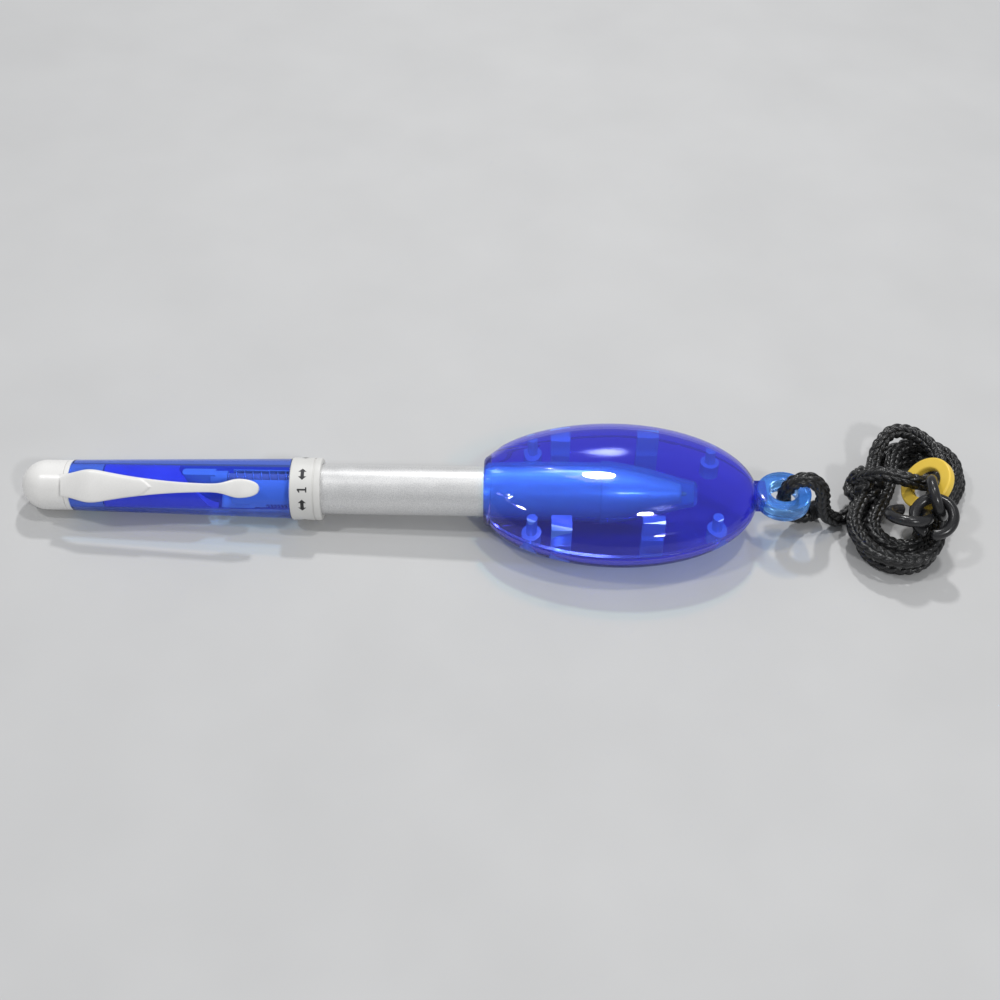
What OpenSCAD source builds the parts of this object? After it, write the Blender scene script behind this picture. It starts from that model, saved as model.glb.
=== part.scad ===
// Twist-action three-colour ballpoint pen in a two-shell sheath on a knitted lanyard.
// The pen lies along X with its end cap at -X. Z is up and the table is at Z = 0.
// Pen stations are distances s along its axis, measured from the end of the cap.

/* [End cap and clip] */
// Radius of the domed end cap
cap_r = 5.3; // [4.8:0.1:5.6]
// Length of the end cap, dome included
cap_len = 9.9; // [8:0.1:14]
// Length of the plug under the cap
cap_plug_len = 7; // [4:0.5:9]
// Wall of the plug under the cap
cap_plug_wall = 1; // [0.6:0.1:1.6]
// Thickness of the clip's ring, trapped under the cap
clip_ring_t = 1; // [0.6:0.1:2]
// Reach of the clip along the barrel
clip_len = 41.5; // [34:0.5:44]
// Widest part of the clip
clip_w = 7.2; // [5:0.1:9]
// Narrowest part of the clip's arm
clip_neck_w = 1.8; // [1.4:0.1:3]
// Width of the bulb at the clip's free end
clip_bulb_w = 4; // [3:0.1:6]
// Thickness of the clip's arm
clip_t = 1.5; // [1:0.1:2]
// Gap between the clip's arm and the barrel
clip_gap = 0.9; // [0.6:0.1:2]
// Turn of the clip about the pen, from +Y towards +Z
clip_turn = 135; // [100:1:170]

/* [Upper barrel and collar] */
// Length of the translucent upper barrel
barrel_len = 46.6; // [44:0.1:52]
// Radius of the upper barrel at the collar
barrel_r = 6.35; // [6:0.05:7]
// Radius of the bore of the upper barrel
barrel_bore_r = 4.55; // [4.4:0.05:4.8]
// Length of the selector collar
collar_len = 6.4; // [5:0.1:9]
// Radius of the selector collar
collar_r = 6.6; // [6.2:0.05:7.5]
// Length of the barrel's seat inside the collar
collar_seat_len = 3; // [1.5:0.1:4]
// Radius of the barrel's seat inside the collar
collar_seat_r = 5.85; // [5.5:0.05:6]
// Bevel on the rims of the collar
collar_bevel = 0.35; // [0.1:0.05:0.6]

/* [Lower barrel and nose] */
// Radius of the lower barrel
lower_r = 5.3; // [5.1:0.05:5.35]
// Wall of the lower barrel
lower_wall = 1; // [0.6:0.05:1.1]
// Length of the lower barrel beyond the collar
lower_len = 58.7; // [50:0.1:70]
// Length of the nose cone
nose_len = 16.9; // [15:0.1:20]
// Radius of the nose cone at its end
nose_tip_r = 1.95; // [1.75:0.05:2.4]
// Radius of the hole in the nose
nose_hole_r = 1.35; // [1.2:0.05:1.5]
// Length of the nose's plug inside the lower barrel
nose_plug_len = 6; // [3:0.5:9]

/* [Mechanism] */
// Distance of each refill from the pen's axis
refill_offset = 2.6; // [2.55:0.01:2.65]
// Radius of the ink tubes
tube_r = 1.1; // [0.9:0.05:1.12]
// Stroke of a refill between stowed and writing
stroke = 8; // [7:0.1:9]
// How far the writing tip stands out of the nose
tip_out = 1.3; // [0.8:0.1:2.5]
// Radius of a writing tip
tip_r = 1.05; // [0.9:0.05:1.06]
// Length of a writing tip
tip_len = 10; // [8:0.5:12]
// Length of the tip's taper
tip_taper = 4; // [3:0.1:4.5]
// Radius of the writing ball
ball_r = 0.35; // [0.25:0.05:0.4]
// Wall of the cam sleeve
cam_wall = 1.3; // [0.8:0.05:1.4]
// Distance of the cam's low edge behind the collar
cam_back = 23.5; // [22.5:0.1:26]
// Thickness of a slider's fin
fin_t = 1.6; // [1:0.1:1.8]
// Length of a slider's fin up to its shoulder block
fin_len = 5.2; // [4:0.1:6]
// Length of a slider's shoulder block
block_len = 3.5; // [3:0.1:4.5]
// Radius of a slider's shoulder block
block_r = 1.5; // [1.4:0.02:1.52]
// Depth of the tube's seat in the slider
tube_seat = 2; // [1:0.1:2.5]
// Radius of the refill carrier
carrier_r = 3.85; // [3.7:0.05:3.9]
// Length of the refill carrier
carrier_len = 25; // [20:0.5:30]
// Radius of the carrier's grooves
groove_r = 1.65; // [1.6:0.01:1.7]
// Length of a return spring with its refill stowed
spring_len = 14.2; // [14:0.1:15]
// Mean radius of a return spring
spring_r = 1.38; // [1.3:0.01:1.42]
// Wire of a return spring
spring_wire = 0.24; // [0.16:0.01:0.26]
// Curls in a return spring
spring_curls = 8; // [6:1:8]

/* [Sheath] */
// Depth of the nose inside the sheath
insert_len = 41.5; // [36:0.5:44]
// Half length of the sheath's oval
sheath_half_len = 30; // [29:0.1:34]
// Half width of the sheath's oval
sheath_half_w = 18.3; // [17:0.1:21]
// Half height of the sheath
sheath_half_h = 8.7; // [8.4:0.05:10]
// Where the mouth cuts the oval, as a share of its half length
mouth_share = 0.933; // [0.88:0.001:0.95]
// Half width of the spine at the mouth
spine_half_w = 7.6; // [7.2:0.05:8.4]
// Half height of the spine at the mouth
spine_half_h = 7.9; // [7.6:0.05:8.2]
// Wall of the sheath
sheath_wall = 1.5; // [1:0.05:1.8]
// Wall of the pen socket
socket_wall = 0.8; // [0.5:0.05:1]
// Room in front of the writing point inside the socket
socket_room = 1.2; // [0.6:0.1:2]
// Radius of the eye
eye_r = 5.85; // [5:0.05:7]
// Radius of the eye's hole
eye_hole_r = 2.9; // [2.6:0.05:3.2]
// Thickness of each half of the eye
eye_t = 1.9; // [1.2:0.05:2.4]
// Radius of the locating pins
pin_r = 1.1; // [0.8:0.05:1.2]
// Wall of the bosses that take the pins
boss_wall = 0.8; // [0.6:0.05:1]
// Depth of the pins inside their bosses
pin_depth = 2.6; // [1.5:0.1:3]

/* [Lanyard] */
// Diameter of the knitted cord
cord_d = 3.2; // [3:0.05:3.25]
// Radius of the end knot
knot_r = 3.8; // [3.2:0.1:4]
// Outer radius of the black split rings
ring_r = 5.1; // [4.8:0.05:5.2]
// Radius of the stock of the split rings
ring_stock_r = 1.15; // [1:0.05:1.2]
// Opening of a split ring, in degrees
ring_split = 14; // [8:1:20]
// Outer radius of the yellow ring
tag_r = 6; // [5.6:0.1:6.2]
// Radius of the hole of the yellow ring
tag_hole_r = 3.4; // [3.2:0.05:3.5]
// Thickness of the yellow ring
tag_t = 2; // [1.6:0.1:2.2]

/* [Hidden] */
$fn = 64;

// Clearances: pressed or glued seats, turning and sliding fits, and loose pieces
seat_fit = 0.03;
run_fit = 0.08;
slide_fit = 0.12;
loose_fit = 0.3;

// Stations along the pen
s_ring = cap_len;
s_barrel = s_ring + clip_ring_t;
s_collar = s_barrel + barrel_len;
s_lower = s_collar + collar_len;
s_nose = s_lower + lower_len;
s_end = s_nose + nose_len;
s_point = s_end + tip_out;
s_mouth = s_end - insert_len;
mouth_cut = mouth_share * sheath_half_len;
s_oval = s_mouth + mouth_cut;
s_oval_end = s_oval + sheath_half_len;
eye_lap = 0.4;
s_eye = s_oval_end - eye_lap + eye_r;
pen_total = s_eye + eye_r;

// The part rests on the dome of the cap and on the belly of the sheath.
// With u the sine of the tilt, cap_r + rest_run * u = sqrt((half_len * u)^2 + half_h^2 * (1 - u^2)).
rest_run = s_oval - cap_r;
rest_a = rest_run * rest_run - sheath_half_len * sheath_half_len + sheath_half_h * sheath_half_h;
rest_b = cap_r * rest_run;
rest_c = cap_r * cap_r - sheath_half_h * sheath_half_h;
tilt = asin((sqrt(rest_b * rest_b - rest_a * rest_c) - rest_b) / rest_a);
axis_lift = cap_r * (1 - sin(tilt));

module laid() {
    translate([-pen_total * cos(tilt) / 2, 0, axis_lift]) rotate([0, -tilt, 0]) children();
}

function row_point(s, y, z) = [
    s * cos(tilt) - z * sin(tilt) - pen_total * cos(tilt) / 2,
    y,
    s * sin(tilt) + z * cos(tilt) + axis_lift
];

module rod(s0, s1, r) {
    translate([s0, 0, 0]) rotate([0, 90, 0]) cylinder(h = s1 - s0, r = r);
}

module taper(s0, s1, r0, r1) {
    translate([s0, 0, 0]) rotate([0, 90, 0]) cylinder(h = s1 - s0, r1 = r0, r2 = r1);
}

// Turns a profile of [radius, station] points about the pen's axis
module turned(profile) {
    rotate([0, 90, 0]) rotate_extrude($fn = 96) polygon(profile);
}

function ease(t) = t <= 0 ? 0 : t >= 1 ? 1 : t * t * (3 - 2 * t);
function flat(lists) = [for (l = lists) for (e = l) e];
function unit(v) = v / norm(v);

// Faces of a tube of rings rings with sides sides, closed at both ends
function tube_faces(rings, sides) = concat(
    [[for (j = [0 : sides - 1]) j]],
    [[for (j = [0 : sides - 1]) (rings - 1) * sides + sides - 1 - j]],
    flat([for (i = [0 : rings - 2]) flat([for (j = [0 : sides - 1])
        let (a = i * sides + j, b = i * sides + (j + 1) % sides)
        [[a, a + sides, b], [b, a + sides, b + sides]]])])
);

// Directions along a line of points
function heading(p, i) = unit(p[min(i + 1, len(p) - 1)] - p[max(i - 1, 0)]);

// A side direction carried along the line without twist
function carried(t, before) = unit(before - t * (t * before));
function carry(p, start) = [for (i = 0, n = carried(heading(p, 0), start); i < len(p);
    i = i + 1, n = i < len(p) ? carried(heading(p, i), n) : n) n];

// A round tube of radius r along the points p
module swept(p, r, sides, start) {
    side = carry(p, start);
    rings = [for (i = [0 : len(p) - 1]) let (t = heading(p, i), n = side[i], b = cross(t, n))
        [for (j = [0 : sides - 1]) let (a = 360 * j / sides) p[i] + r * (cos(a) * n + sin(a) * b)]];
    polyhedron(points = flat(rings), faces = tube_faces(len(p), sides));
}

// End cap: a dome turned in one piece with the plug that holds it in the barrel
cap_plug_r = barrel_bore_r - seat_fit;
cap_arc_steps = 14;

module end_cap() {
    color("white") laid() difference() {
        turned(concat(
            [for (i = [0 : cap_arc_steps]) let (a = 90 * i / cap_arc_steps)
                [cap_r * sin(a), cap_r * (1 - cos(a))]],
            [[cap_r, s_ring], [cap_plug_r, s_ring], [cap_plug_r, s_barrel + cap_plug_len],
             [0, s_barrel + cap_plug_len]]
        ));
        rod(s_ring, s_barrel + cap_plug_len + 1, cap_plug_r - cap_plug_wall);
    }
}

// Clip: a ring trapped between cap and barrel, and a leaf-shaped arm that ends in a bulb
barrel_start_r = cap_r + 0.1;
function barrel_at(s) = barrel_start_r + (barrel_r - barrel_start_r) * (s - s_barrel) / barrel_len;
clip_rows = 30;
clip_arc = 10;
clip_leaf_at = 0.16;
clip_neck_at = 0.78;
clip_bulb_at = 0.9;
clip_tip_w = 0.7;
clip_root_w = 4.6;

function clip_half_w(f) = 0.5 * (
    f < clip_leaf_at ? clip_root_w + (clip_w - clip_root_w) * ease(f / clip_leaf_at)
    : f < clip_neck_at ? clip_neck_w + (clip_w - clip_neck_w)
        * pow(1 - (f - clip_leaf_at) / (clip_neck_at - clip_leaf_at), 2)
    : f < clip_bulb_at ? clip_neck_w + (clip_bulb_w - clip_neck_w)
        * ease((f - clip_neck_at) / (clip_bulb_at - clip_neck_at))
    : clip_tip_w + (clip_bulb_w - clip_tip_w)
        * sqrt(max(0, 1 - pow((f - clip_bulb_at) / (1 - clip_bulb_at), 2))));
function clip_under(s, f) = f < clip_leaf_at
    ? cap_r - seat_fit + (barrel_at(s) + clip_gap - cap_r + seat_fit) * ease(f / clip_leaf_at)
    : barrel_at(s) + clip_gap - (clip_gap - loose_fit)
        * ease((f - clip_neck_at) / (clip_bulb_at - clip_neck_at));
function clip_over(s, f) = barrel_at(s) + clip_gap + clip_t
    - (f < clip_leaf_at ? (clip_gap + 0.2) * (1 - ease(f / clip_leaf_at)) : 0)
    - (f > clip_bulb_at ? 0.6 * ease((f - clip_bulb_at) / (1 - clip_bulb_at)) : 0);

function clip_section(f) = let (s = s_ring + f * clip_len, w = clip_half_w(f), u = clip_under(s, f), o = clip_over(s, f))
    concat([[s, u, w], [s, u, -w]],
        [for (i = [0 : clip_arc]) let (a = 180 * i / clip_arc)
            [s, u + 0.4 * (o - u) + 0.6 * (o - u) * sqrt(sin(a)), -w * cos(a)]]);

module pocket_clip() {
    color("white") laid() {
        difference() {
            rod(s_ring, s_barrel, cap_r);
            rod(s_ring - 1, s_barrel + 1, cap_plug_r + seat_fit);
        }
        rotate([clip_turn, 0, 0]) polyhedron(
            points = flat([for (i = [0 : clip_rows]) clip_section(i / clip_rows)]),
            faces = tube_faces(clip_rows + 1, clip_arc + 3)
        );
    }
}

// Upper barrel: a taper with a straight bore and a seat for the collar
module upper_barrel() {
    color("blue", 0.5) laid() difference() {
        union() {
            taper(s_barrel, s_collar, barrel_start_r, barrel_r);
            rod(s_collar - 1, s_collar + collar_seat_len, collar_seat_r);
        }
        rod(s_barrel - 1, s_collar + collar_seat_len + 1, barrel_bore_r);
    }
}

// Selector collar: pressed on the barrel's seat, and turning round the lower barrel
module selector_collar() {
    color("gainsboro") laid() difference() {
        turned([
            [0, s_collar], [collar_r - collar_bevel, s_collar], [collar_r, s_collar + collar_bevel],
            [collar_r, s_lower - collar_bevel], [collar_r - collar_bevel, s_lower], [0, s_lower]
        ]);
        rod(s_collar - 1, s_collar + collar_seat_len, collar_seat_r + seat_fit);
        rod(s_collar - 1, s_lower + 1, lower_r + run_fit);
    }
}

// Cam sleeve: its end rises and falls evenly over a third of a turn each side of the peak
cam_rise_turn = 120;
cam_steps = 72;
cam_r = barrel_bore_r - seat_fit;
cam_in_r = cam_r - cam_wall;
cam_start = s_barrel + cap_plug_len + loose_fit;
refill_turn = [210, 90, 330];
cam_low = s_collar - cam_back;

function cam_edge(a) = let (off = abs(((a - refill_turn[0] + 540) % 360) - 180))
    cam_low + stroke * max(0, 1 - off / cam_rise_turn);

module cam_sleeve() {
    rings = [for (ring = [[cam_r, 0], [cam_in_r, 0], [cam_in_r, 1], [cam_r, 1]])
        [for (i = [0 : cam_steps - 1]) let (a = 360 * i / cam_steps)
            [ring[1] == 0 ? cam_start : cam_edge(a), ring[0] * cos(a), ring[0] * sin(a)]]];
    color("lightsteelblue") laid() polyhedron(
        points = flat(rings),
        faces = flat([for (k = [0 : 3]) flat([for (i = [0 : cam_steps - 1])
            let (n = (i + 1) % cam_steps, b = ((k + 1) % 4) * cam_steps, a = k * cam_steps)
            [[a + i, b + i, a + n], [a + n, b + i, b + n]]])])
    );
}

// The first refill is at its writing stroke and the other two are stowed
function advance(k) = k == 0 ? stroke : 0;
cam_room = 1.8 * fin_t / 2;
s_follow = cam_low + cam_room;
s_block = s_follow + fin_len;
s_face = s_block + block_len;
s_seat = s_face + spring_len;
s_carrier = s_face + 1;

// Lower barrel: a tube with a neck that turns in the upper barrel and holds the carrier
neck_r = barrel_bore_r - run_fit;
lower_in_r = lower_r - lower_wall;
s_shoulder = s_collar + collar_seat_len + loose_fit;

module lower_barrel() {
    color("silver") laid() difference() {
        union() {
            rod(s_seat + loose_fit, s_shoulder + 1, neck_r);
            rod(s_shoulder, s_nose, lower_r);
        }
        rod(s_seat, s_nose + 1, carrier_r + seat_fit);
        rod(s_shoulder + lower_wall, s_nose + 1, lower_in_r);
    }
}

// Nose cone: an ogive with a plug, bored for the stowed tips and drawn in to one hole
nose_steps = 10;
nose_swell = 1.5;
nose_plug_r = lower_in_r - seat_fit;
nose_bore_r = refill_offset + tube_r + slide_fit;
s_nose_bore = s_point - stroke - tip_taper + slide_fit * 8;
function nose_at(s) = lower_r - (lower_r - nose_tip_r) * pow(max(0, s - s_nose) / nose_len, nose_swell);

module nose_cone() {
    color("silver") laid() difference() {
        turned(concat(
            [[0, s_nose - nose_plug_len], [nose_plug_r, s_nose - nose_plug_len], [nose_plug_r, s_nose]],
            [for (i = [0 : nose_steps]) let (s = s_nose + nose_len * i / nose_steps) [nose_at(s), s]],
            [[0, s_end]]
        ));
        rod(s_nose - nose_plug_len - 1, s_nose_bore, nose_bore_r);
        taper(s_nose_bore - 0.01, s_end + 0.01, nose_bore_r, nose_hole_r);
    }
}

// Places a piece at a refill: along the pen, out by its offset and round by its turn
module at_refill(k, s = 0, offset = refill_offset) {
    rotate([refill_turn[k], 0, 0]) translate([s, offset, 0]) children();
}

// Slider: a fin with a round end that rides on the cam, and a block that presses the spring
fin_top = barrel_bore_r - loose_fit;
fin_bottom = refill_offset - block_r * 0.6;

module slider(k) {
    color("white") laid() translate([advance(k), 0, 0]) {
        difference() {
            union() {
                rotate([refill_turn[k], 0, 0]) translate([s_follow, fin_bottom, 0]) rotate([-90, 0, 0])
                    linear_extrude(fin_top - fin_bottom) {
                        circle(d = fin_t);
                        translate([0, -fin_t / 2]) square([fin_len + 1, fin_t]);
                    }
                at_refill(k) rod(s_block, s_face, block_r);
            }
            at_refill(k) rod(s_face - tube_seat, s_face + 1, tube_r + seat_fit);
        }
    }
}

// Refill carrier: three open grooves for the springs, then three bores for the ink tubes
module refill_carrier() {
    color("whitesmoke") laid() difference() {
        rod(s_carrier, s_carrier + carrier_len, carrier_r);
        for (k = [0 : 2]) {
            at_refill(k) rod(s_carrier - 1, s_seat, groove_r);
            at_refill(k) rod(s_carrier - 1, s_carrier + carrier_len + 1, tube_r + slide_fit);
        }
    }
}

// Return spring: one helix between the slider's block and the seat in the carrier
spring_rings = 8;
spring_sides = 6;

module spring(k) {
    s0 = s_face + advance(k) + spring_wire / 2 + seat_fit;
    s1 = s_seat - spring_wire / 2 - seat_fit;
    steps = spring_curls * spring_rings;
    line = [for (i = [0 : steps]) let (a = 360 * i / spring_rings)
        [s0 + (s1 - s0) * i / steps, spring_r * cos(a), spring_r * sin(a)]];
    echo(str("spring_", k + 1, " least gap between curls, mm: "), (s1 - s0) / spring_curls - spring_wire);
    color("gray") laid() at_refill(k) swept(line, spring_wire / 2, spring_sides, [1, 0, 0]);
}

// Ink tubes: straight where stowed, and bent in to the nose's hole on the refill that writes
tube_bend_rows = 16;
tube_sides = 12;
s_tip = s_point - tip_len;
s_bend = s_carrier + carrier_len;
tube_straight_end = 4;

module ink_tube(k) {
    s0 = s_face + advance(k) - tube_seat + seat_fit;
    color("lightblue") laid() {
        if (advance(k) == 0) at_refill(k) rod(s0, s_tip - stroke, tube_r);
        else rotate([refill_turn[k], 0, 0]) swept(
            concat([[s0, refill_offset, 0]], [for (i = [0 : tube_bend_rows])
                let (s = s_bend + (s_tip - tube_straight_end - s_bend) * i / tube_bend_rows)
                [s, refill_offset * (1 - ease(i / tube_bend_rows)), 0]], [[s_tip, 0, 0]]),
            tube_r, tube_sides, [0, 1, 0]);
    }
}

// Writing tip: a straight shank, a taper and the ball that it holds
module tip(k) {
    shift = advance(k) - stroke;
    color("goldenrod") laid() at_refill(k, shift, advance(k) == 0 ? refill_offset : 0) {
        rod(s_tip, s_point - tip_taper, tip_r);
        taper(s_point - tip_taper - 0.01, s_point - ball_r, tip_r, ball_r);
        translate([s_point - ball_r, 0, 0]) sphere(ball_r);
    }
}

// Sheath: half an oval dome, with a spine along the pen that stands out at the mouth
shell_rows = 26;
shell_cols = 22;
dome_end_power = 0.8;
dome_side_power = 0.7;
spine_fade = 0.55;

function oval_half_w(x) = sheath_half_w * sqrt(max(0, 1 - pow(x / sheath_half_len, 2)));
// Share of the spine left at x: whole at the mouth, gone where the dome is highest
function spine_share(x) = 1 - ease((x + mouth_cut) / (mouth_cut * (1 + spine_fade)));
function shell_half_w(x) = max(oval_half_w(x), x < 0 ? spine_half_w : 0);
function dome_h(x, v) = let (w = oval_half_w(x), e = sqrt(max(0, 1 - pow(x / sheath_half_len, 2))))
    w < 0.01 ? 0 : sheath_half_h * pow(e, dome_end_power)
        * pow(sqrt(max(0, 1 - pow(min(1, abs(v) / w), 2))), dome_side_power);
function spine_h(x, v) = spine_half_h * sqrt(max(0, 1 - pow(min(1, abs(v) / spine_half_w), 2)));
function shell_h(x, v) = max(dome_h(x, v), x < 0 ? spine_h(x, v) : 0);

// Half body above the parting plane from x0 to x1, drawn in by inset all round
function half_rows(x0, x1) = [for (i = [0 : shell_rows - 1])
    let (a0 = acos(-x0 / sheath_half_len), a = a0 + (acos(-x1 / sheath_half_len) - a0) * i / (shell_rows - 1))
    -sheath_half_len * cos(a)];

module half_body(x0, x1, inset, base) {
    rows = half_rows(x0, x1);
    points = flat([for (x = rows) let (full = shell_half_w(x), w = max(full - inset, 0.1))
        [for (j = [0 : shell_cols]) let (f = sin(-90 + 180 * j / shell_cols))
            [s_oval + x, w * f, j == 0 || j == shell_cols ? base
                : shell_h(x, full * f) * (1 - inset / sheath_half_h)]]]);
    n = shell_cols + 1;
    last = (shell_rows - 1) * n;
    polyhedron(points = points, faces = concat(
        [[for (j = [0 : shell_cols]) shell_cols - j]],
        [[for (j = [0 : shell_cols]) last + j]],
        flat([for (i = [0 : shell_rows - 2]) flat([for (j = [0 : shell_cols - 1]) let (a = i * n + j)
            [[a, a + 1, a + n], [a + 1, a + n + 1, a + n]]])]),
        flat([for (i = [0 : shell_rows - 2]) let (a = i * n, b = i * n + shell_cols)
            [[a, a + n, b], [b, a + n, b + n]]])
    ));
}

// Pins, lugs and bosses inside the shells: station from the mouth and distance from the axis.
// The rear pins keep their distance from the sheath's far end.
rear_pin_from_end = 9.59;
pin_places = [[10.3, 11.3], [mouth_cut + sheath_half_len - rear_pin_from_end, 9.6]];
square_boss_place = [16.3, 12.6];
square_boss_w = 4.2;
lug_place = [35, 12.2];
lug_len = 4.6;
lug_w = 2.2;
mouth_wall = 1.8;
end_inset = 1.4;
boss_r = pin_r + slide_fit + boss_wall;
socket_out_r = lower_r + slide_fit + socket_wall;

// Height at which a post at p, with its corners r away both ways, ends inside the wall
function post_top(p, r) = let (x = p[0] - mouth_cut)
    min(shell_h(x - r, p[1] + r), shell_h(x + r, p[1] + r)) - sheath_wall / 3;
post_corner = sqrt(0.5);

module shell_half(is_top) {
    difference() {
        union() {
            difference() {
                half_body(-mouth_cut, sheath_half_len - 0.02, 0, 0);
                half_body(-mouth_cut + mouth_wall, sheath_half_len - end_inset, sheath_wall, -1);
            }
            translate([s_eye, 0, 0]) cylinder(r = eye_r, h = eye_t);
            translate([s_oval_end - 4 * eye_lap, -eye_hole_r, 0]) cube([eye_r, 2 * eye_hole_r, eye_t]);
            for (side = [1, -1]) {
                for (p = pin_places) translate([s_mouth + p[0], side * p[1], is_top ? -pin_depth : seat_fit])
                    cylinder(r = is_top ? pin_r : boss_r,
                        h = post_top(p, boss_r * post_corner) + (is_top ? pin_depth : -seat_fit));
                translate([s_mouth + square_boss_place[0] - square_boss_w / 2,
                    side * square_boss_place[1] - square_boss_w / 2, 0])
                    cube([square_boss_w, square_boss_w, post_top(square_boss_place, square_boss_w / 2)]);
                translate([s_mouth + lug_place[0] - lug_len / 2, side * lug_place[1] - lug_w / 2, 0])
                    cube([lug_len, lug_w, post_top(lug_place, lug_len / 2)]);
            }
        }
        rod(s_mouth - 1, s_mouth + mouth_wall + 1, socket_out_r + seat_fit);
        translate([s_eye, 0, -1]) cylinder(r = eye_hole_r, h = eye_t + 2);
        if (!is_top) for (side = [1, -1]) for (p = pin_places)
            translate([s_mouth + p[0], side * p[1], -1]) cylinder(r = pin_r + slide_fit, h = pin_depth + 1 + loose_fit);
    }
}

module sheath_top() {
    color("mediumblue", 0.5) laid() shell_half(true);
}

module sheath_bottom() {
    color("mediumblue", 0.5) laid() mirror([0, 0, 1]) shell_half(false);
}

// Pen socket: a sleeve held in the mouth, which follows the pen and its nose
socket_steps = 8;
nose_room = 0.5;
s_socket_end = s_point + socket_room;

module pen_socket() {
    color("royalblue", 0.5) laid() difference() {
        turned(concat(
            [[0, s_mouth], [socket_out_r, s_mouth], [socket_out_r, s_nose]],
            [for (i = [1 : socket_steps]) let (s = s_nose + nose_len * i / socket_steps)
                [nose_at(s) + nose_room + socket_wall, s]],
            [[nose_hole_r + nose_room + socket_wall, s_socket_end + socket_wall], [0, s_socket_end + socket_wall]]
        ));
        turned(concat(
            [[0, s_mouth - 1], [lower_r + slide_fit, s_mouth - 1], [lower_r + slide_fit, s_nose]],
            [for (i = [1 : socket_steps]) let (s = s_nose + nose_len * i / socket_steps)
                [nose_at(s) + nose_room, s]],
            [[nose_hole_r + nose_room, s_socket_end], [0, s_socket_end]]
        ));
    }
}

// Lanyard: points are in the frame of the table, with the cord lying on it
cord_r = cord_d / 2;
cord_sides = 8;
eye_at = row_point(s_eye, 0, 0);

// Lead: from the binding under the eye, up through its hole, over its rim and along the table
lead_points = [
    [87, 3.8, 2.4], [83.4, 1.8, 2], [79.8, 0.2, 4.8], [77.9, 0, 9.8], [79.3, 0, 14],
    [82.6, 0, 15], [85.6, 0, 12.2], [86.6, 0.2, 8], [88, 0.4, 4.4], [91.2, 1.2, 2], [94.6, 4, 1.7], [97.2, 7.6, 1.7]
];

// Hank: two layers of loops that spiral in, climb and spiral out again
hank_middle = [106.8, 5.4];
hank_turn = 66;
hank_half = 10.6;
hank_out_r = 10.2;
hank_pitch = 4;
hank_waist = 0.9;
hank_layer_turns = 1.3625;
hank_hold_turns = 0.32;
hank_climb_turns = 0.5;
hank_start = 0.155;
hank_low = 1.65;
hank_rise = 3.85;
hank_rings = 24;
hank_sides = 6;
hank_turns = 2 * hank_layer_turns + hank_hold_turns;

function hank_inset(t) = hank_pitch * min(t, hank_layer_turns, hank_turns - t);
function hank_height(t) = hank_low + hank_rise * ease(0.5 + (t - hank_turns / 2) / hank_climb_turns);
// One loop is two runs and two round ends, a quarter of a turn each
function loop_point(q, r) = let (k = floor(q), f = q - k)
    k == 0 ? [-hank_half + 2 * hank_half * f, r - hank_waist * pow(sin(180 * f), 2)]
    : k == 1 ? [hank_half + r * sin(180 * f), r * cos(180 * f)]
    : k == 2 ? [hank_half - 2 * hank_half * f, -r + hank_waist * pow(sin(180 * f), 2)]
    : [-hank_half - r * sin(180 * f), -r * cos(180 * f)];
function hank_point(t) = let (turn = t + hank_start, p = loop_point(4 * (turn - floor(turn)), hank_out_r - hank_inset(t)))
    [hank_middle[0] + p[0] * cos(hank_turn) - p[1] * sin(hank_turn),
     hank_middle[1] + p[0] * sin(hank_turn) + p[1] * cos(hank_turn),
     hank_height(t)];
hank_steps = ceil(hank_turns * hank_rings);
hank_line = [for (i = [0 : hank_steps]) hank_point(hank_turns * i / hank_steps)];

// Tail: round the top of the hank, through the yellow ring and down to the closing knot
tail_points = [
    [101.8, 18.8, 7.6], [105, 21.6, 9.4], [109.6, 20.8, 9.5], [113, 16.2, 9.4], [113.2, 10, 9.4],
    [110.8, 5.4, 10], [106.8, 4, 11.4], [102.6, 4.8, 12], [98.8, 6.4, 11], [95.4, 8.6, 6.4]
];
knot_at = [96, 8.3, 3.8];

// A smooth line through points, a few steps to each span, with a point before and after it
function through(p, before, after, steps) = let (q = concat([before], p, [after])) concat(
    flat([for (i = [1 : len(q) - 3]) [for (j = [0 : steps - 1]) let (t = j / steps)
        0.5 * (2 * q[i] + (q[i + 1] - q[i - 1]) * t
            + (2 * q[i - 1] - 5 * q[i] + 4 * q[i + 1] - q[i + 2]) * t * t
            + (3 * q[i] - q[i - 1] - 3 * q[i + 1] + q[i + 2]) * t * t * t)]]),
    [p[len(p) - 1]]);
lead_steps = 3;
hank_step_t = 1 / hank_rings;
lead_line = through(concat(lead_points, [hank_point(0)]), 2 * lead_points[0] - lead_points[1],
    hank_point(3 * hank_step_t), lead_steps);
tail_line = through(concat([hank_point(hank_turns)], tail_points),
    hank_point(hank_turns - 2 * hank_step_t), knot_at, lead_steps);

// Least gap of the hank to itself, between points more than half a loop's width apart along it
hank_skip = 8;
hank_gap = min([for (i = [0 : hank_steps]) for (j = [i + hank_skip : 1 : hank_steps])
    norm(hank_line[i] - hank_line[j])]) - cord_d;

module lanyard_lead() {
    color("black") swept(lead_line, cord_r, cord_sides, [0, 0, 1]);
}

module lanyard_hank() {
    echo("hank least gap to itself, mm: ", hank_gap);
    color("black") swept(hank_line, cord_r, hank_sides, [0, 0, 1]);
}

module lanyard_tail() {
    color("black") swept(tail_line, cord_r, cord_sides, [0, 0, 1]);
}

// Turns the Z axis to a direction
module facing(v) {
    rotate([0, acos(v[2] / norm(v)), atan2(v[1], v[0])]) children();
}

// Binding: thread wound round the two parts of the cord where the loop closes
binding_len = 2.6;
binding_wall = 0.45;

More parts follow.
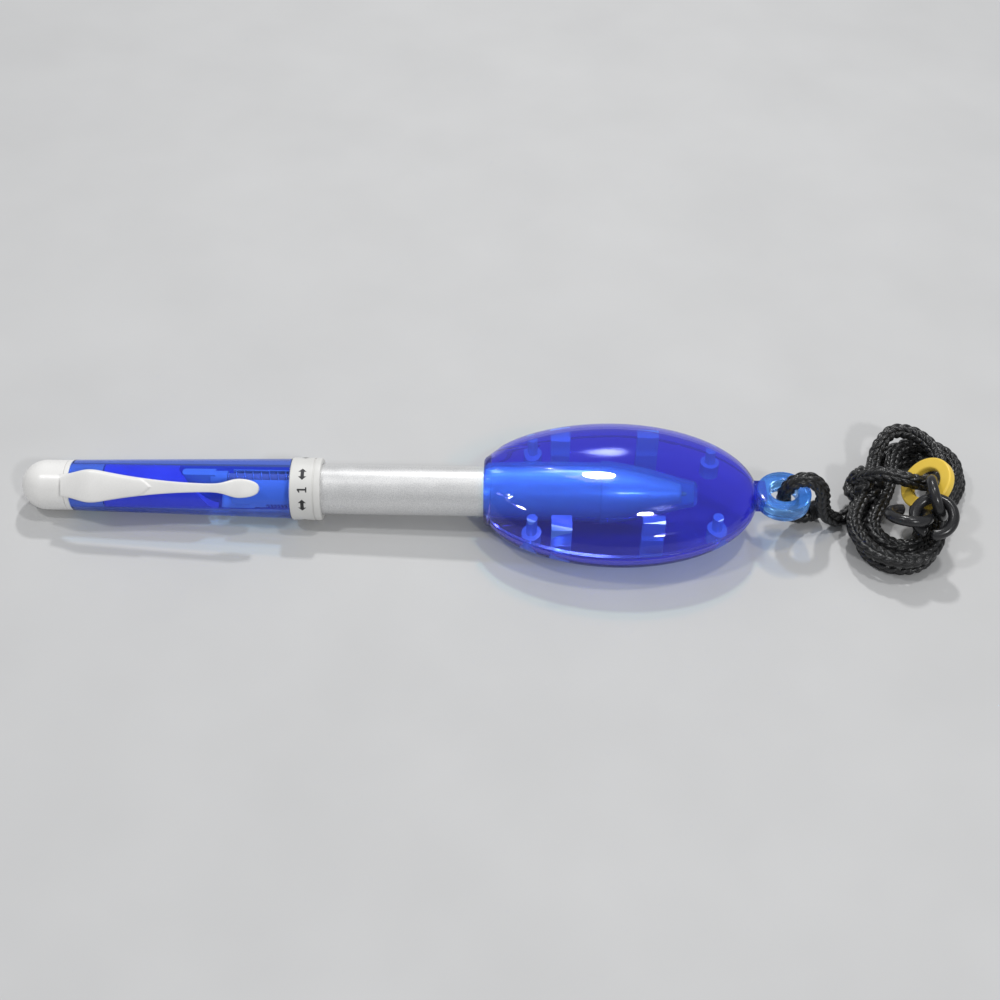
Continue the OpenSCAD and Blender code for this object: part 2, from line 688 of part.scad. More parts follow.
module loop_binding() {
    color("black") translate(lead_points[0]) facing(lead_points[1] - lead_points[0]) difference() {
        cylinder(r = cord_r + binding_wall, h = binding_len);
        translate([0, 0, -1]) cylinder(r = cord_r + slide_fit, h = binding_len + 2);
    }
}

// Closing knot: tied where both ends of the neck loop meet the lead
module end_knot() {
    color("black") translate(knot_at) sphere(knot_r);
}

// Split rings: round stock bent to a ring that does not quite close
ring_places = [[103.21, -5.77, 11.34], [108.19, -6.38, 11.99], [109.38, -1.88, 12.94]];
ring_axes = [[0.01, 0.48, 0.88], [0.23, 0.42, -0.88], [0.89, -0.03, 0.46]];

module split_ring(k) {
    color("black") translate(ring_places[k]) facing(ring_axes[k])
        rotate_extrude(angle = 360 - ring_split, $fn = 64)
            translate([ring_r - ring_stock_r, 0]) circle(r = ring_stock_r, $fn = 32);
}

// Yellow ring: a flat ring on the cord
tag_at = [108.72, 3.43, 11.52];
tag_axis = [-0.73, -0.1, 0.68];

module yellow_ring() {
    color("gold") translate(tag_at) facing(tag_axis) difference() {
        cylinder(r = tag_r, h = tag_t, center = true);
        cylinder(r = tag_hole_r, h = tag_t + 2, center = true);
    }
}

end_cap();
pocket_clip();
upper_barrel();
selector_collar();
cam_sleeve();
lower_barrel();
nose_cone();
refill_carrier();
slider(0);  // slider_1
slider(1);  // slider_2
slider(2);  // slider_3
spring(0);  // spring_1
spring(1);  // spring_2
spring(2);  // spring_3
ink_tube(0);  // ink_tube_1
ink_tube(1);  // ink_tube_2
ink_tube(2);  // ink_tube_3
tip(0);  // tip_1
tip(1);  // tip_2
tip(2);  // tip_3
sheath_top();
sheath_bottom();
pen_socket();
lanyard_lead();
lanyard_hank();
lanyard_tail();
loop_binding();
end_knot();
split_ring(0);  // split_ring_1
split_ring(1);  // split_ring_2
split_ring(2);  // split_ring_3
yellow_ring();
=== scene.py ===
# %% [markdown]
# # A three-colour pen parked in its lanyard sheath
# The pen twists to choose one of three refills. It is pushed nose first into an oval sheath of clear
# blue plastic, and the sheath hangs from a knitted cord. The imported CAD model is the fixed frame: it
# says where every piece is. This lesson dresses it, piece by piece, with surfaces worked out in numpy.

# %% Load the fixed frame
import math

import bmesh
import bpy
import numpy as np
from mathutils import Matrix, Vector


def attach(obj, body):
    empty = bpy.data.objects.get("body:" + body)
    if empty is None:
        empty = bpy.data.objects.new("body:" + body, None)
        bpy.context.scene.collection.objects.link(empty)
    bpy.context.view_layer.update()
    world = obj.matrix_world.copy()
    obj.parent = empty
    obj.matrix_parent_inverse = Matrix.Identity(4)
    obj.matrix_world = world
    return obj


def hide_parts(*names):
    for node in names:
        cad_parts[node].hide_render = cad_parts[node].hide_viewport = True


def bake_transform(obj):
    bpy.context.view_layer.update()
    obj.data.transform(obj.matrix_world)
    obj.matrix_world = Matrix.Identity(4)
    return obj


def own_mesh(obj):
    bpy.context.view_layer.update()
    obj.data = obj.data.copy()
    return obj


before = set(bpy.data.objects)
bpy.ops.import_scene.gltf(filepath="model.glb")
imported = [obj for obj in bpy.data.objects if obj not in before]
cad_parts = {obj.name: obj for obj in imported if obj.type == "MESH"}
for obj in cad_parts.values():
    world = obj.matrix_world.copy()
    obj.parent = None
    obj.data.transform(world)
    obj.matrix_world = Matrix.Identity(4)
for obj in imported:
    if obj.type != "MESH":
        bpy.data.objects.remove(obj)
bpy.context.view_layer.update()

# %% [markdown]
# ## Camera
# The photograph looks down on the pen from the front, a little turned and rolled, from about 30 cm.
# A camera can be posed by hand, or worked out from points whose place on the object and in the
# picture are both known. Here the second way gave the angles, and the code only builds the three
# directions of the camera from them.

# %% Camera at the photograph's angle
MM = 0.001
SENSOR_MM = 36.0
elevation, azimuth, roll = np.radians([46.5, 1.07, 2.83])
distance, focal_px, picture_px = 302.6, 1444.0, 1000.0
target = np.array([17.79, -4.02, 9.76])

ahead = np.array([math.sin(azimuth), math.cos(azimuth), 0.0])
forward = ahead * math.cos(elevation) - np.array([0.0, 0.0, math.sin(elevation)])
level = np.array([math.cos(azimuth), -math.sin(azimuth), 0.0])
upward = np.cross(level, forward)
right = level * math.cos(roll) + upward * math.sin(roll)
upright = upward * math.cos(roll) - level * math.sin(roll)

camera = bpy.data.objects.new("camera", bpy.data.cameras.new("camera"))
bpy.context.collection.objects.link(camera)
turn = Matrix([right, upright, -forward]).transposed().to_4x4()
camera.matrix_world = Matrix.Translation(Vector((target - forward * distance) * MM)) @ turn
camera.data.sensor_width = SENSOR_MM
camera.data.lens = SENSOR_MM * focal_px / picture_px
camera.data.clip_start = 0.01
bpy.context.scene.camera = camera
print("camera at, m:", [round(v, 4) for v in camera.location], "lens", round(camera.data.lens, 1))

# %% [markdown]
# ## Tools for surfaces
# Every new piece is a grid of points: one parameter runs along it and one goes round it. The pen lies
# at a slight slope on the table, so its pieces are worked out along a level axis, in millimetres, and
# laid down by one function.

# %% Laying the pen down
TILT = math.radians(1.63253)
LENGTH = 167.29
LIFT = 5.14901


def laid(s, y, z):
    """Pen coordinates in mm to the shared frame in metres.

    The station s, the side y and the height z are turned up by the rest slope about Y, moved back by
    half of the length along X, and lifted to the height of the axis."""
    s, y, z = np.broadcast_arrays(np.asarray(s, float), np.asarray(y, float), np.asarray(z, float))
    c, k = math.cos(TILT), math.sin(TILT)
    return np.stack([s * c - z * k - LENGTH * c / 2, y, s * k + z * c + LIFT], axis=-1) * MM


def round_angles(sides):
    """Angles of a full turn in equal steps, without the last one, which is the first again."""
    return np.linspace(0, 2 * np.pi, sides, endpoint=False)


print("ends of the axis, m:", laid([0, LENGTH], 0, 0).round(4).tolist())

# %% [markdown]
# A grid turns into faces by joining neighbours, so one helper serves tubes, turned parts and domes.
# The same helper hands the piece to the body it moves with, puts its finish on it, and hides the CAD
# solids it stands for.

# %% From a grid of points to a piece
MERGE_M, SLIVER_M = 2e-7, 1e-8


def grid_faces(rows, cols, loop_rows, loop_cols):
    """Corner numbers of the cells of a grid: each cell joins a point, its next in the row, and both
    of these in the next row. A looped way joins its last line to its first."""
    i = np.arange(rows if loop_rows else rows - 1)[:, None]
    j = np.arange(cols if loop_cols else cols - 1)[None, :]
    here, down, after = i * cols, ((i + 1) % rows) * cols, (j + 1) % cols
    cells = np.stack([here + j, here + after, down + after, down + j], axis=-1).reshape(-1, 4)
    along, across = i + 0 * j, 0 * i + j
    u = np.stack([along, along, along + 1, along + 1], axis=-1) / max(rows - 1, 1)
    v = np.stack([across, across + 1, across + 1, across], axis=-1) / (cols if loop_cols else cols - 1)
    return cells, np.stack([u, v], axis=-1).reshape(-1, 2)


def piece(name, grids, finish, body, stands_for=(), relief=None, sharp=None):
    """One object from several grids, each (points, rows looped, columns looped), in metres.

    Points that coincide are merged, which closes seams and poles, and the faces are turned outwards.
    The UV map holds the share of the way along and round each grid. A piece given no body is left loose."""
    points, cells, uvs, start = [], [], [], 0
    for grid, loop_rows, loop_cols in grids:
        rows, cols = grid.shape[:2]
        c, uv = grid_faces(rows, cols, loop_rows, loop_cols)
        points.append(grid.reshape(-1, 3))
        cells.append(c + start)
        uvs.append(uv)
        start += rows * cols
    mesh = bpy.data.meshes.new(name)
    mesh.from_pydata(np.concatenate(points), [], np.concatenate(cells))
    layer = mesh.uv_layers.new(name="UVMap")
    layer.data.foreach_set("uv", np.concatenate(uvs).astype(np.float32).ravel())
    if relief is not None:
        heights = mesh.attributes.new("relief", "FLOAT", "POINT")
        heights.data.foreach_set("value", relief.astype(np.float32).ravel())
    shape = bmesh.new()
    shape.from_mesh(mesh)
    bmesh.ops.remove_doubles(shape, verts=shape.verts, dist=MERGE_M)
    bmesh.ops.dissolve_degenerate(shape, edges=shape.edges, dist=SLIVER_M)
    bmesh.ops.recalc_face_normals(shape, faces=shape.faces)
    shape.to_mesh(mesh)
    shape.free()
    mesh.polygons.foreach_set("use_smooth", np.ones(len(mesh.polygons), bool))
    if sharp is not None:
        mesh.set_sharp_from_angle(angle=math.radians(sharp))
    mesh.materials.append(finish)
    thing = bpy.data.objects.new(name, mesh)
    bpy.context.collection.objects.link(thing)
    if body:
        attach(thing, body)
    if stands_for:
        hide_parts(*stands_for)
    print(f"{name}: {len(mesh.vertices)} points, {len(mesh.polygons)} faces")
    return thing


print("faces of a tube of 5 rings with 8 sides:", len(grid_faces(5, 8, False, True)[0]))

# %% [markdown]
# Turned parts start as a line of corners in station and radius. Real edges are never sharp, so each
# corner is rounded, and long straights get more points, because smooth shading would otherwise spread
# the roundness of a corner over the whole straight.

# %% Profiles and turned surfaces
def run_length(path):
    """Distance along a path at each of its points: the sum of the steps so far."""
    return np.concatenate([[0], np.cumsum(np.linalg.norm(np.diff(path, axis=0), axis=1))])


def rounded(corners, radius, steps=6, closed=False):
    """A line of corners with each corner rounded off.

    The corner gives way to a curve from the point radius before it to the point radius after it,
    (1-t)^2 a + 2t(1-t) corner + t^2 b, and radius is at most 0.45 of the shorter side."""
    p = np.asarray(corners, float)
    to_before, to_after = np.roll(p, 1, axis=0) - p, np.roll(p, -1, axis=0) - p
    len_b = np.linalg.norm(to_before, axis=1, keepdims=True)
    len_a = np.linalg.norm(to_after, axis=1, keepdims=True)
    wanted = np.broadcast_to(np.asarray(radius, float).reshape(-1, 1), len_a.shape)
    r = np.minimum(wanted, 0.45 * np.minimum(len_a, len_b))
    a = p + to_before / np.maximum(len_b, 1e-9) * r
    b = p + to_after / np.maximum(len_a, 1e-9) * r
    t = np.linspace(0, 1, steps)[None, :, None]
    curves = (1 - t) ** 2 * a[:, None] + 2 * t * (1 - t) * p[:, None] + t**2 * b[:, None]
    if closed:
        return curves.reshape(-1, 2)
    return np.concatenate([p[:1], curves[1:-1].reshape(-1, 2), p[-1:]])


def filled(line, step):
    """The same line with points added wherever two are more than step apart, so that smooth shading
    stays near the corners."""
    d = run_length(line)
    marks = np.unique(np.round(np.concatenate([d, np.arange(0, d[-1], step)]), 6))
    return np.stack([np.interp(marks, d, line[:, k]) for k in range(2)], axis=-1)


def turned(profile, step, closed=False, sides=112):
    """A surface of revolution about the pen's axis, as a grid for a piece: (s, r) goes round to
    (s, r cos a, r sin a). A closed profile comes back to its first point."""
    if closed:
        profile = np.concatenate([profile, profile[:1]])
    s, r = filled(profile, step).T[:, :, None]
    a = round_angles(sides)
    return laid(s, r * np.cos(a), r * np.sin(a)), False, True


unit_square = [[0, 0], [1, 0], [1, 1], [0, 1]]
print("points on a rounded square:", len(rounded(unit_square, 0.2, closed=True)))

# %% [markdown]
# The cord, the springs and the ink tubes are tubes along a path. A ring of points needs two directions
# across the path. Taken anew at each point they would flip where the path turns, so they are carried
# along instead.

# %% Tubes that follow a path
def carried_sides(path):
    """Two directions across a path that don't twist about it.

    The first guess is the cross product with a fixed direction, up or, where the path is steep, aside.
    Each guess is carried to the next point by the shortest turn, the angle to the next guess is summed
    along the path, and the guess is turned by that sum."""
    t = np.gradient(path, axis=0)
    t /= np.linalg.norm(t, axis=1, keepdims=True)
    fixed = np.where(np.abs(t[:, 2:]) < 0.8, [[0.0, 0.0, 1.0]], [[0.0, 1.0, 0.0]])
    n = np.cross(fixed, t)
    n /= np.linalg.norm(n, axis=1, keepdims=True)
    b = np.cross(t, n)
    v = np.cross(t[:-1], t[1:])
    c = np.sum(t[:-1] * t[1:], axis=1, keepdims=True)
    w = np.cross(v, n[:-1])
    moved = n[:-1] + w + np.cross(v, w) / (1 + c)
    angle = np.arctan2(np.sum(moved * b[1:], axis=1), np.sum(moved * n[1:], axis=1))
    twist = np.concatenate([[0], np.cumsum(angle)])[:, None]
    side = np.cos(twist) * n + np.sin(twist) * b
    return side, np.cross(t, side)


def tube(path, radius, sides):
    """Rings of the given radius (a number, or one for each ring and side) round the points of a path.
    A ring of no radius at each end closes it."""
    side, over = carried_sides(path)
    a = round_angles(sides)[None, :, None]
    r = np.broadcast_to(np.asarray(radius, float), (len(path), sides))[..., None]
    rings = path[:, None] + r * (np.cos(a) * side[:, None] + np.sin(a) * over[:, None])
    first, last = np.repeat(path[:1, None], sides, 1), np.repeat(path[-1:, None], sides, 1)
    return np.concatenate([first, rings, last])


def evenly(path, step):
    """The same path with points step apart along it."""
    d = run_length(path)
    marks = np.linspace(0, d[-1], int(d[-1] / step) + 1)
    return np.stack([np.interp(marks, d, path[:, k]) for k in range(3)], axis=-1)


print("points every mm on a path of 10 mm:", len(evenly(np.array([[0, 0, 0], [10, 0, 0]]), 1)))

# %% [markdown]
# ## Finishes
# A finish is a Principled shader whose roughness, bump and colour vary a little, because no moulded or
# painted surface is even. The noise reads Object coordinates in metres, so a scale of 4000 means grains
# of about a quarter of a millimetre, the same on every piece.

# %% Helpers for finishes
def new_finish(name, **values):
    """A material with one Principled shader, whose named sockets get plain values."""
    finish = bpy.data.materials.new(name)
    finish.use_nodes = True
    shader = finish.node_tree.nodes["Principled BSDF"]
    for socket, value in values.items():
        shader.inputs[socket.replace("_", " ")].default_value = value
    return finish, finish.node_tree.nodes, finish.node_tree.links, shader


def noise_on_object(nodes, links, scale, detail=3.0, stretch=(1, 1, 1)):
    """A 3-D noise on Object coordinates, stretched along the axes."""
    place = nodes.new("ShaderNodeTexCoord")
    mapping = nodes.new("ShaderNodeMapping")
    mapping.inputs["Scale"].default_value = stretch
    noise = nodes.new("ShaderNodeTexNoise")
    noise.inputs["Scale"].default_value = scale
    noise.inputs["Detail"].default_value = detail
    links.new(place.outputs["Object"], mapping.inputs["Vector"])
    links.new(mapping.outputs["Vector"], noise.inputs["Vector"])
    return noise.outputs["Fac"]


def between(nodes, links, factor, low, high, start=0.3, stop=0.7):
    """A value that goes from low to high as the factor goes from start to stop."""
    span = nodes.new("ShaderNodeMapRange")
    span.inputs["From Min"].default_value, span.inputs["From Max"].default_value = start, stop
    span.inputs["To Min"].default_value, span.inputs["To Max"].default_value = low, high
    links.new(factor, span.inputs["Value"])
    return span.outputs["Result"]


def blend_colours(nodes, links, factor, first, second, start=0.3, stop=0.7):
    """A colour ramp from the first colour to the second."""
    ramp = nodes.new("ShaderNodeValToRGB")
    low, high = ramp.color_ramp.elements
    low.position, high.position = start, stop
    low.color, high.color = (*first, 1), (*second, 1)
    links.new(factor, ramp.inputs["Fac"])
    return ramp.outputs["Color"]


def bump(nodes, links, shader, height, depth, strength=1.0):
    """A bump of the given depth in metres."""
    node = nodes.new("ShaderNodeBump")
    node.inputs["Distance"].default_value = depth
    node.inputs["Strength"].default_value = strength
    links.new(height, node.inputs["Height"])
    links.new(node.outputs["Normal"], shader.inputs["Normal"])


# %% [markdown]
# The cap and clip are satin white mouldings, and the collar a greyer one. The lower barrel is silver
# paint: bright flakes in a clear coat, so its colour sparkles at a much finer scale than its gloss
# changes.

# %% Opaque plastics and silver paint
FINE_GRAIN, SOFT_CLOUDS = 5200, 160


def moulded_plastic(name, pale, deep, rough):
    """A moulding: colour between two tones in soft clouds, and a fine satin grain."""
    finish, nodes, links, shader = new_finish(name, IOR=1.49)
    clouds = noise_on_object(nodes, links, SOFT_CLOUDS, 4)
    links.new(blend_colours(nodes, links, clouds, deep, pale), shader.inputs["Base Color"])
    fine = noise_on_object(nodes, links, FINE_GRAIN, 2)
    links.new(between(nodes, links, fine, rough - 0.06, rough + 0.08), shader.inputs["Roughness"])
    bump(nodes, links, shader, fine, 0.00001, 0.5)
    return finish


satin_white = moulded_plastic("satin_white", (0.87, 0.86, 0.84), (0.81, 0.80, 0.78), 0.28)
collar_grey = moulded_plastic("collar_plastic", (0.75, 0.745, 0.72), (0.68, 0.675, 0.655), 0.40)
works_white = moulded_plastic("works_white", (0.76, 0.92, 0.98), (0.68, 0.86, 0.93), 0.45)
ring_black = moulded_plastic("black_plastic", (0.022, 0.022, 0.024), (0.012, 0.012, 0.013), 0.24)
tag_yellow = moulded_plastic("tag_yellow", (0.92, 0.66, 0.10), (0.84, 0.56, 0.06), 0.34)
cam_blue = moulded_plastic("cam_blue", (0.36, 0.25, 0.90), (0.30, 0.20, 0.80), 0.4)
legend_ink = moulded_plastic("legend_ink", (0.03, 0.03, 0.035), (0.02, 0.02, 0.02), 0.5)

silver_paint, nodes, links, shader = new_finish(
    "silver_paint", Metallic=0.45, Coat_Weight=0.15, Coat_Roughness=0.2)
flakes = noise_on_object(nodes, links, FINE_GRAIN, 2)
flake_tone = blend_colours(nodes, links, flakes, (0.58, 0.58, 0.585), (0.78, 0.78, 0.775))
links.new(flake_tone, shader.inputs["Base Color"])
gloss = noise_on_object(nodes, links, 260, 4)
links.new(between(nodes, links, gloss, 0.34, 0.46), shader.inputs["Roughness"])
bump(nodes, links, shader, flakes, 0.000012, 0.6)
opaque = (satin_white, collar_grey, works_white, ring_black, tag_yellow, cam_blue, legend_ink, silver_paint)
print("opaque finishes:", [finish.name for finish in opaque])

# %% [markdown]
# ## The clear blue plastic
# Sheath, socket and upper barrel are dyed acrylic: light goes through it and loses its red and green
# on the way. A Principled shader with full transmission tints light at each face it crosses, so a wall
# looks azure over the bright pen and ultramarine where two walls lie behind each other, as on the real
# one. Volume absorption would do the same by depth, but it renders slower. Light that bends through a
# wall on its way from a lamp is found only by luck in a path tracer, so lamps see a plain filter.

# %% Clear blue plastics
def clear_plastic(name, tint, rough, shade, clear=1.0):
    """Dyed clear plastic with faint flow marks from the mould; the share that isn't clear is milky.

    For rays from lamps and from matt surfaces it is a plain filter, the square root of the shade's
    colour at each face, so that light also reaches what is inside."""
    finish, nodes, links, shader = new_finish(name, Transmission_Weight=clear, IOR=1.45)
    shader.inputs["Base Color"].default_value = (*tint, 1)
    flow = noise_on_object(nodes, links, 240, 3, (0.35, 1, 1))
    links.new(between(nodes, links, flow, rough * 0.5, rough * 1.6), shader.inputs["Roughness"])
    bump(nodes, links, shader, flow, 0.00006, 0.35)
    ray = nodes.new("ShaderNodeLightPath")
    plain = nodes.new("ShaderNodeBsdfTransparent")
    mix = nodes.new("ShaderNodeMixShader")
    either = nodes.new("ShaderNodeMath")
    either.operation = "MAXIMUM"
    plain.inputs["Color"].default_value = (*np.sqrt(shade), 1)
    links.new(ray.outputs["Is Shadow Ray"], either.inputs[0])
    links.new(ray.outputs["Is Diffuse Ray"], either.inputs[1])
    links.new(either.outputs["Value"], mix.inputs["Fac"])
    links.new(shader.outputs["BSDF"], mix.inputs[1])
    links.new(plain.outputs["BSDF"], mix.inputs[2])
    links.new(mix.outputs["Shader"], nodes["Material Output"].inputs["Surface"])
    return finish


sheath_blue = clear_plastic("sheath_blue", (0.205, 0.205, 0.97), 0.03, (0.66, 0.90, 0.97), 0.95)
# A shaded copy of the sheath's plastic for the lower shell: a little less green in its tint and a far darker
# lamp filter. Together they paint a darker shadow on the floor under the sheath and a deeper shade on its
# lower half.
sheath_blue_below_painted_shadow = clear_plastic("sheath_blue_below_painted_shadow", (0.205, 0.185, 0.97), 0.03, (0.14, 0.16, 0.40), 0.95)
post_blue = clear_plastic("post_blue", (0.34, 0.66, 1.0), 0.08, (0.7, 0.8, 0.9), 0.45)
eye_blue = clear_plastic("eye_blue", (0.22, 0.52, 1.0), 0.06, (0.50, 0.62, 0.80), 0.85)
socket_blue = clear_plastic("socket_blue", (0.45, 1.0, 1.0), 0.08, (0.85, 0.95, 1.0), 0.86)
barrel_blue = clear_plastic("barrel_blue", (0.13, 0.24, 0.98), 0.03, (0.55, 0.74, 0.92))
clear = (sheath_blue, sheath_blue_below_painted_shadow, post_blue, eye_blue, socket_blue, barrel_blue)
print("clear finishes:", [finish.name for finish in clear])

# %% [markdown]
# ## The knitted cord
# A cord of about 37 cm closes to a neck loop: it goes through the sheath's eye, lies along the table
# to a knot, and its loop is folded to a hank of two layers. The route is two lines through chosen
# points, from the eye to the hank and from the hank to the knot, and a formula for the hank between.

# %% The cord's route
lead_points = np.array([
    [87, 3.8, 2.4], [83.4, 1.8, 2], [79.8, 0.2, 4.8], [77.9, 0, 9.8], [79.3, 0, 14], [82.6, 0, 15],
    [85.6, 0, 12.2], [86.6, 0.2, 8], [88, 0.4, 4.4], [91.2, 1.2, 2], [94.6, 4, 1.7], [97.2, 7.6, 1.7],
])
tail_points = np.array([
    [101.8, 18.8, 7.6], [105, 21.6, 9.4], [109.6, 20.8, 9.5], [113, 16.2, 9.4], [113.2, 10, 9.4],
    [110.8, 5.4, 10], [106.8, 4, 11.4], [102.6, 4.8, 12], [98.8, 6.4, 11], [95.4, 8.6, 6.4],
])
knot_at = np.array([96, 8.3, 3.8])
cord_d = 3.2
hank_middle, hank_turn = (106.8, 5.4), math.radians(66)
hank_half, hank_out_r, hank_shrink, hank_waist = 10.6, 10.2, 4.0, 0.9
hank_layer_turns, hank_hold_turns, hank_climb_turns, hank_start_turn = 1.3625, 0.32, 0.5, 0.155
hank_low, hank_rise = 1.65, 3.85
hank_turns = 2 * hank_layer_turns + hank_hold_turns


def through(points, before, after, steps=24):
    """A Catmull-Rom line: each span is a cubic through its two ends, whose slope at an end is half the
    way from the point before it to the point after it."""
    q = np.concatenate([[before], points, [after]])
    t = (np.arange(steps) / steps)[None, :, None]
    a, b, c, d = q[:-3, None], q[1:-2, None], q[2:-1, None], q[3:, None]
    line = 0.5 * (2 * b + (c - a) * t + (2 * a - 5 * b + 4 * c - d) * t**2 + (3 * b - a - 3 * c + d) * t**3)
    return np.concatenate([line.reshape(-1, 3), points[-1:]])


def hank_line(t):
    """The hank at turn t: a loop of two waisted runs and two round ends, a quarter of a turn each. Its
    radius shrinks by 4 mm a turn to the middle and grows back, while it climbs to a second layer."""
    r = hank_out_r - hank_shrink * np.minimum(np.minimum(t, hank_layer_turns), hank_turns - t)
    q = 4 * np.mod(t + hank_start_turn, 1)
    quarter, f = np.floor(q).astype(int), np.mod(q, 1)
    run, waist = 2 * hank_half * f, hank_waist * np.sin(np.pi * f) ** 2
    bulge, swing = r * np.sin(np.pi * f), r * np.cos(np.pi * f)
    x = np.choose(quarter, [run - hank_half, hank_half + bulge, hank_half - run, -hank_half - bulge])
    y = np.choose(quarter, [r - waist, swing, waist - r, -swing])
    e = np.clip(0.5 + (t - hank_turns / 2) / hank_climb_turns, 0, 1)
    return np.stack([
        hank_middle[0] + x * math.cos(hank_turn) - y * math.sin(hank_turn),
        hank_middle[1] + x * math.sin(hank_turn) + y * math.cos(hank_turn),
        hank_low + hank_rise * e * e * (3 - 2 * e),
    ], axis=-1)


hank = hank_line(np.linspace(0, hank_turns, 900))
into_hank, out_of_hank = hank_line(np.array([0.125, hank_turns - 0.083]))
lead = through(np.concatenate([lead_points, hank[:1]]), 2 * lead_points[0] - lead_points[1], into_hank)
tail = through(np.concatenate([hank[-1:], tail_points]), out_of_hank, knot_at)
route = evenly(np.concatenate([lead[:-1], hank[:-1], tail]), 0.2)

# %% [markdown]
# A knitted cord shows columns of small V stitches. A curve with a bevel would give a smooth hose. Here
# the tube's radius itself carries the stitches, so the knit shows in the outline too. Each V has two
# legs that lean against each other, so the relief is a row of bumps in each half column, slanted one
# way and then the other. The same number is kept on the mesh, and the finish uses it to paint shade
# into the valleys between the stitches, near black, while the ridges keep the yarn's tone.

# %% The knit and its finish
VALLEY = 0.68


def knit(along, around, columns, pitch):
    """Height of the stitches from 0 to 1: a bump across each half column, cos(pi b) to the power 0.45,
    times bumps along it, whose phase leans by nearly half a stitch to either side in turn."""
    h = around * 2 * columns
    b = np.mod(h, 1) - 0.5
    lean = np.where(np.mod(np.floor(h), 2) == 0, 1.0, -1.0)
    phase = along / pitch + 0.9 * lean * b
    row = np.abs(np.cos(np.pi * phase)) ** 0.7
    return np.cos(np.pi * b) ** 0.45 * (0.1 + 0.9 * row)


def with_ends(height):
    """Heights for the closed ends of a tube too, where there is no relief."""
    return np.concatenate([height[:1] * 0, height, height[:1] * 0])


def knitted_tube(path, radius, sides, columns, pitch):
    """A tube whose radius falls to 0.68 of itself in the valleys of the knit."""
    height = knit(run_length(path)[:, None], (np.arange(sides) / sides)[None, :], columns, pitch)
    return tube(path, radius * (VALLEY + (1 - VALLEY) * height), sides) * MM, with_ends(height)


cord_knit, nodes, links, shader = new_finish("cord_knit", Sheen_Weight=0.05, Sheen_Roughness=0.4)
height = nodes.new("ShaderNodeAttribute")
height.attribute_name = "relief"
# Painted shade: the colour falls from the yarn's tone on the ridges to near black in the knit's valleys.
yarn_and_painted_valley_shade = blend_colours(
    nodes, links, height.outputs["Fac"], (0.002, 0.002, 0.002), (0.016, 0.016, 0.017), 0.2, 0.9)
links.new(yarn_and_painted_valley_shade, shader.inputs["Base Color"])
fibre = noise_on_object(nodes, links, FINE_GRAIN, 2)
links.new(between(nodes, links, fibre, 0.18, 0.42), shader.inputs["Roughness"])
bump(nodes, links, shader, fibre, 0.00005, 0.8)

cord_grid, cord_relief = knitted_tube(route, cord_d / 2 * 1.06, sides=48, columns=3, pitch=1.9)
neck_cord = piece("neck_cord", [(cord_grid, False, True)], cord_knit, "sheath",
                  ("lanyard_lead", "lanyard_hank", "lanyard_tail"), cord_relief)

# %% [markdown]
# The knot that closes the loop is a tight ball. One strand wound over itself makes it: the path goes
# twice round a small sphere while it swings three times between its poles. Where the cord's loop is
# closed at the eye, a thread is wound round it: a tube whose radius rises along a helix.

# %% Knot and binding
KNOT_ROUNDS, KNOT_SWINGS, KNOT_R, KNOT_STRAND_R = 2, 3, 2.9, 1.62
BIND_LEN, BIND_PITCH, BIND_ROWS, BIND_SIDES = 2.6, 0.37, 66, 40
BIND_CORE_R, BIND_THREAD, BIND_END_R = 1.68, 0.36, 1.62

t = np.linspace(0, 1, 360, endpoint=False)
round_way, swing_way = 2 * np.pi * KNOT_ROUNDS * t, 2 * np.pi * KNOT_SWINGS * t
swing = np.sin(swing_way + 0.4)
reach = KNOT_R + 0.2 * np.cos(swing_way)
flat_r, rise = reach * np.cos(swing), reach * np.sin(swing)
ball = np.stack([flat_r * np.cos(round_way), flat_r * np.sin(round_way), rise], axis=-1)
ball_lean = np.array(Matrix.Rotation(0.7, 3, "X") @ Matrix.Rotation(0.5, 3, "Y"))
ball_path = knot_at + [1.2, -0.1, 1.5] + np.concatenate([ball, ball[:1]]) @ ball_lean.T
knot_grid, knot_relief = knitted_tube(evenly(ball_path, 0.12), KNOT_STRAND_R, sides=32, columns=3, pitch=1.5)
# The knot's knit relief also paints shade into its valleys, through the cord's finish.
closing_knot = piece("closing_knot", [(knot_grid, False, True)], cord_knit, "sheath",
                     ("end_knot",), knot_relief)

bind_way = lead_points[1] - lead_points[0]
bind_run = np.linspace(0, BIND_LEN, BIND_ROWS)[:, None]
bind_path = lead_points[0] + bind_run * bind_way / np.linalg.norm(bind_way)
wind = bind_run / BIND_PITCH - (np.arange(BIND_SIDES) / BIND_SIDES)[None, :]
thread = np.abs(np.cos(np.pi * wind)) ** 0.7
bind_r = BIND_CORE_R + BIND_THREAD * thread
bind_r[[0, -1]] = BIND_END_R
bind_grid = tube(bind_path, bind_r, BIND_SIDES) * MM
# The thread's relief also paints shade into the grooves between its windings, through the cord's finish.
binding = piece("cord_binding", [(bind_grid, False, True)], cord_knit, "sheath",
                ("loop_binding",), with_ends(thread))

# %% [markdown]
# Three black split rings are linked to each other, and the last one hangs in a flat yellow ring that
# slides on the cord. Each is one cross section carried round a circle: a round one that stops short,
# with soft ends, and a rounded rectangle that closes.

# %% Split rings and yellow ring
SPLIT_R, SPLIT_WIRE_R, SPLIT_ARC, SPLIT_SOFT_END = 3.95, 1.15, 346, 0.4


def facing(points, centre, axis):
    """Turns the Z axis to a direction, about Y by its polar angle and then about Z by its azimuth, and
    moves the middle to a place."""
    axis = np.asarray(axis, float) / np.linalg.norm(axis)
    polar, way = math.acos(axis[2]), math.atan2(axis[1], axis[0])
    turn = np.array(Matrix.Rotation(way, 3, "Z") @ Matrix.Rotation(polar, 3, "Y"))
    return points @ turn.T + np.asarray(centre)


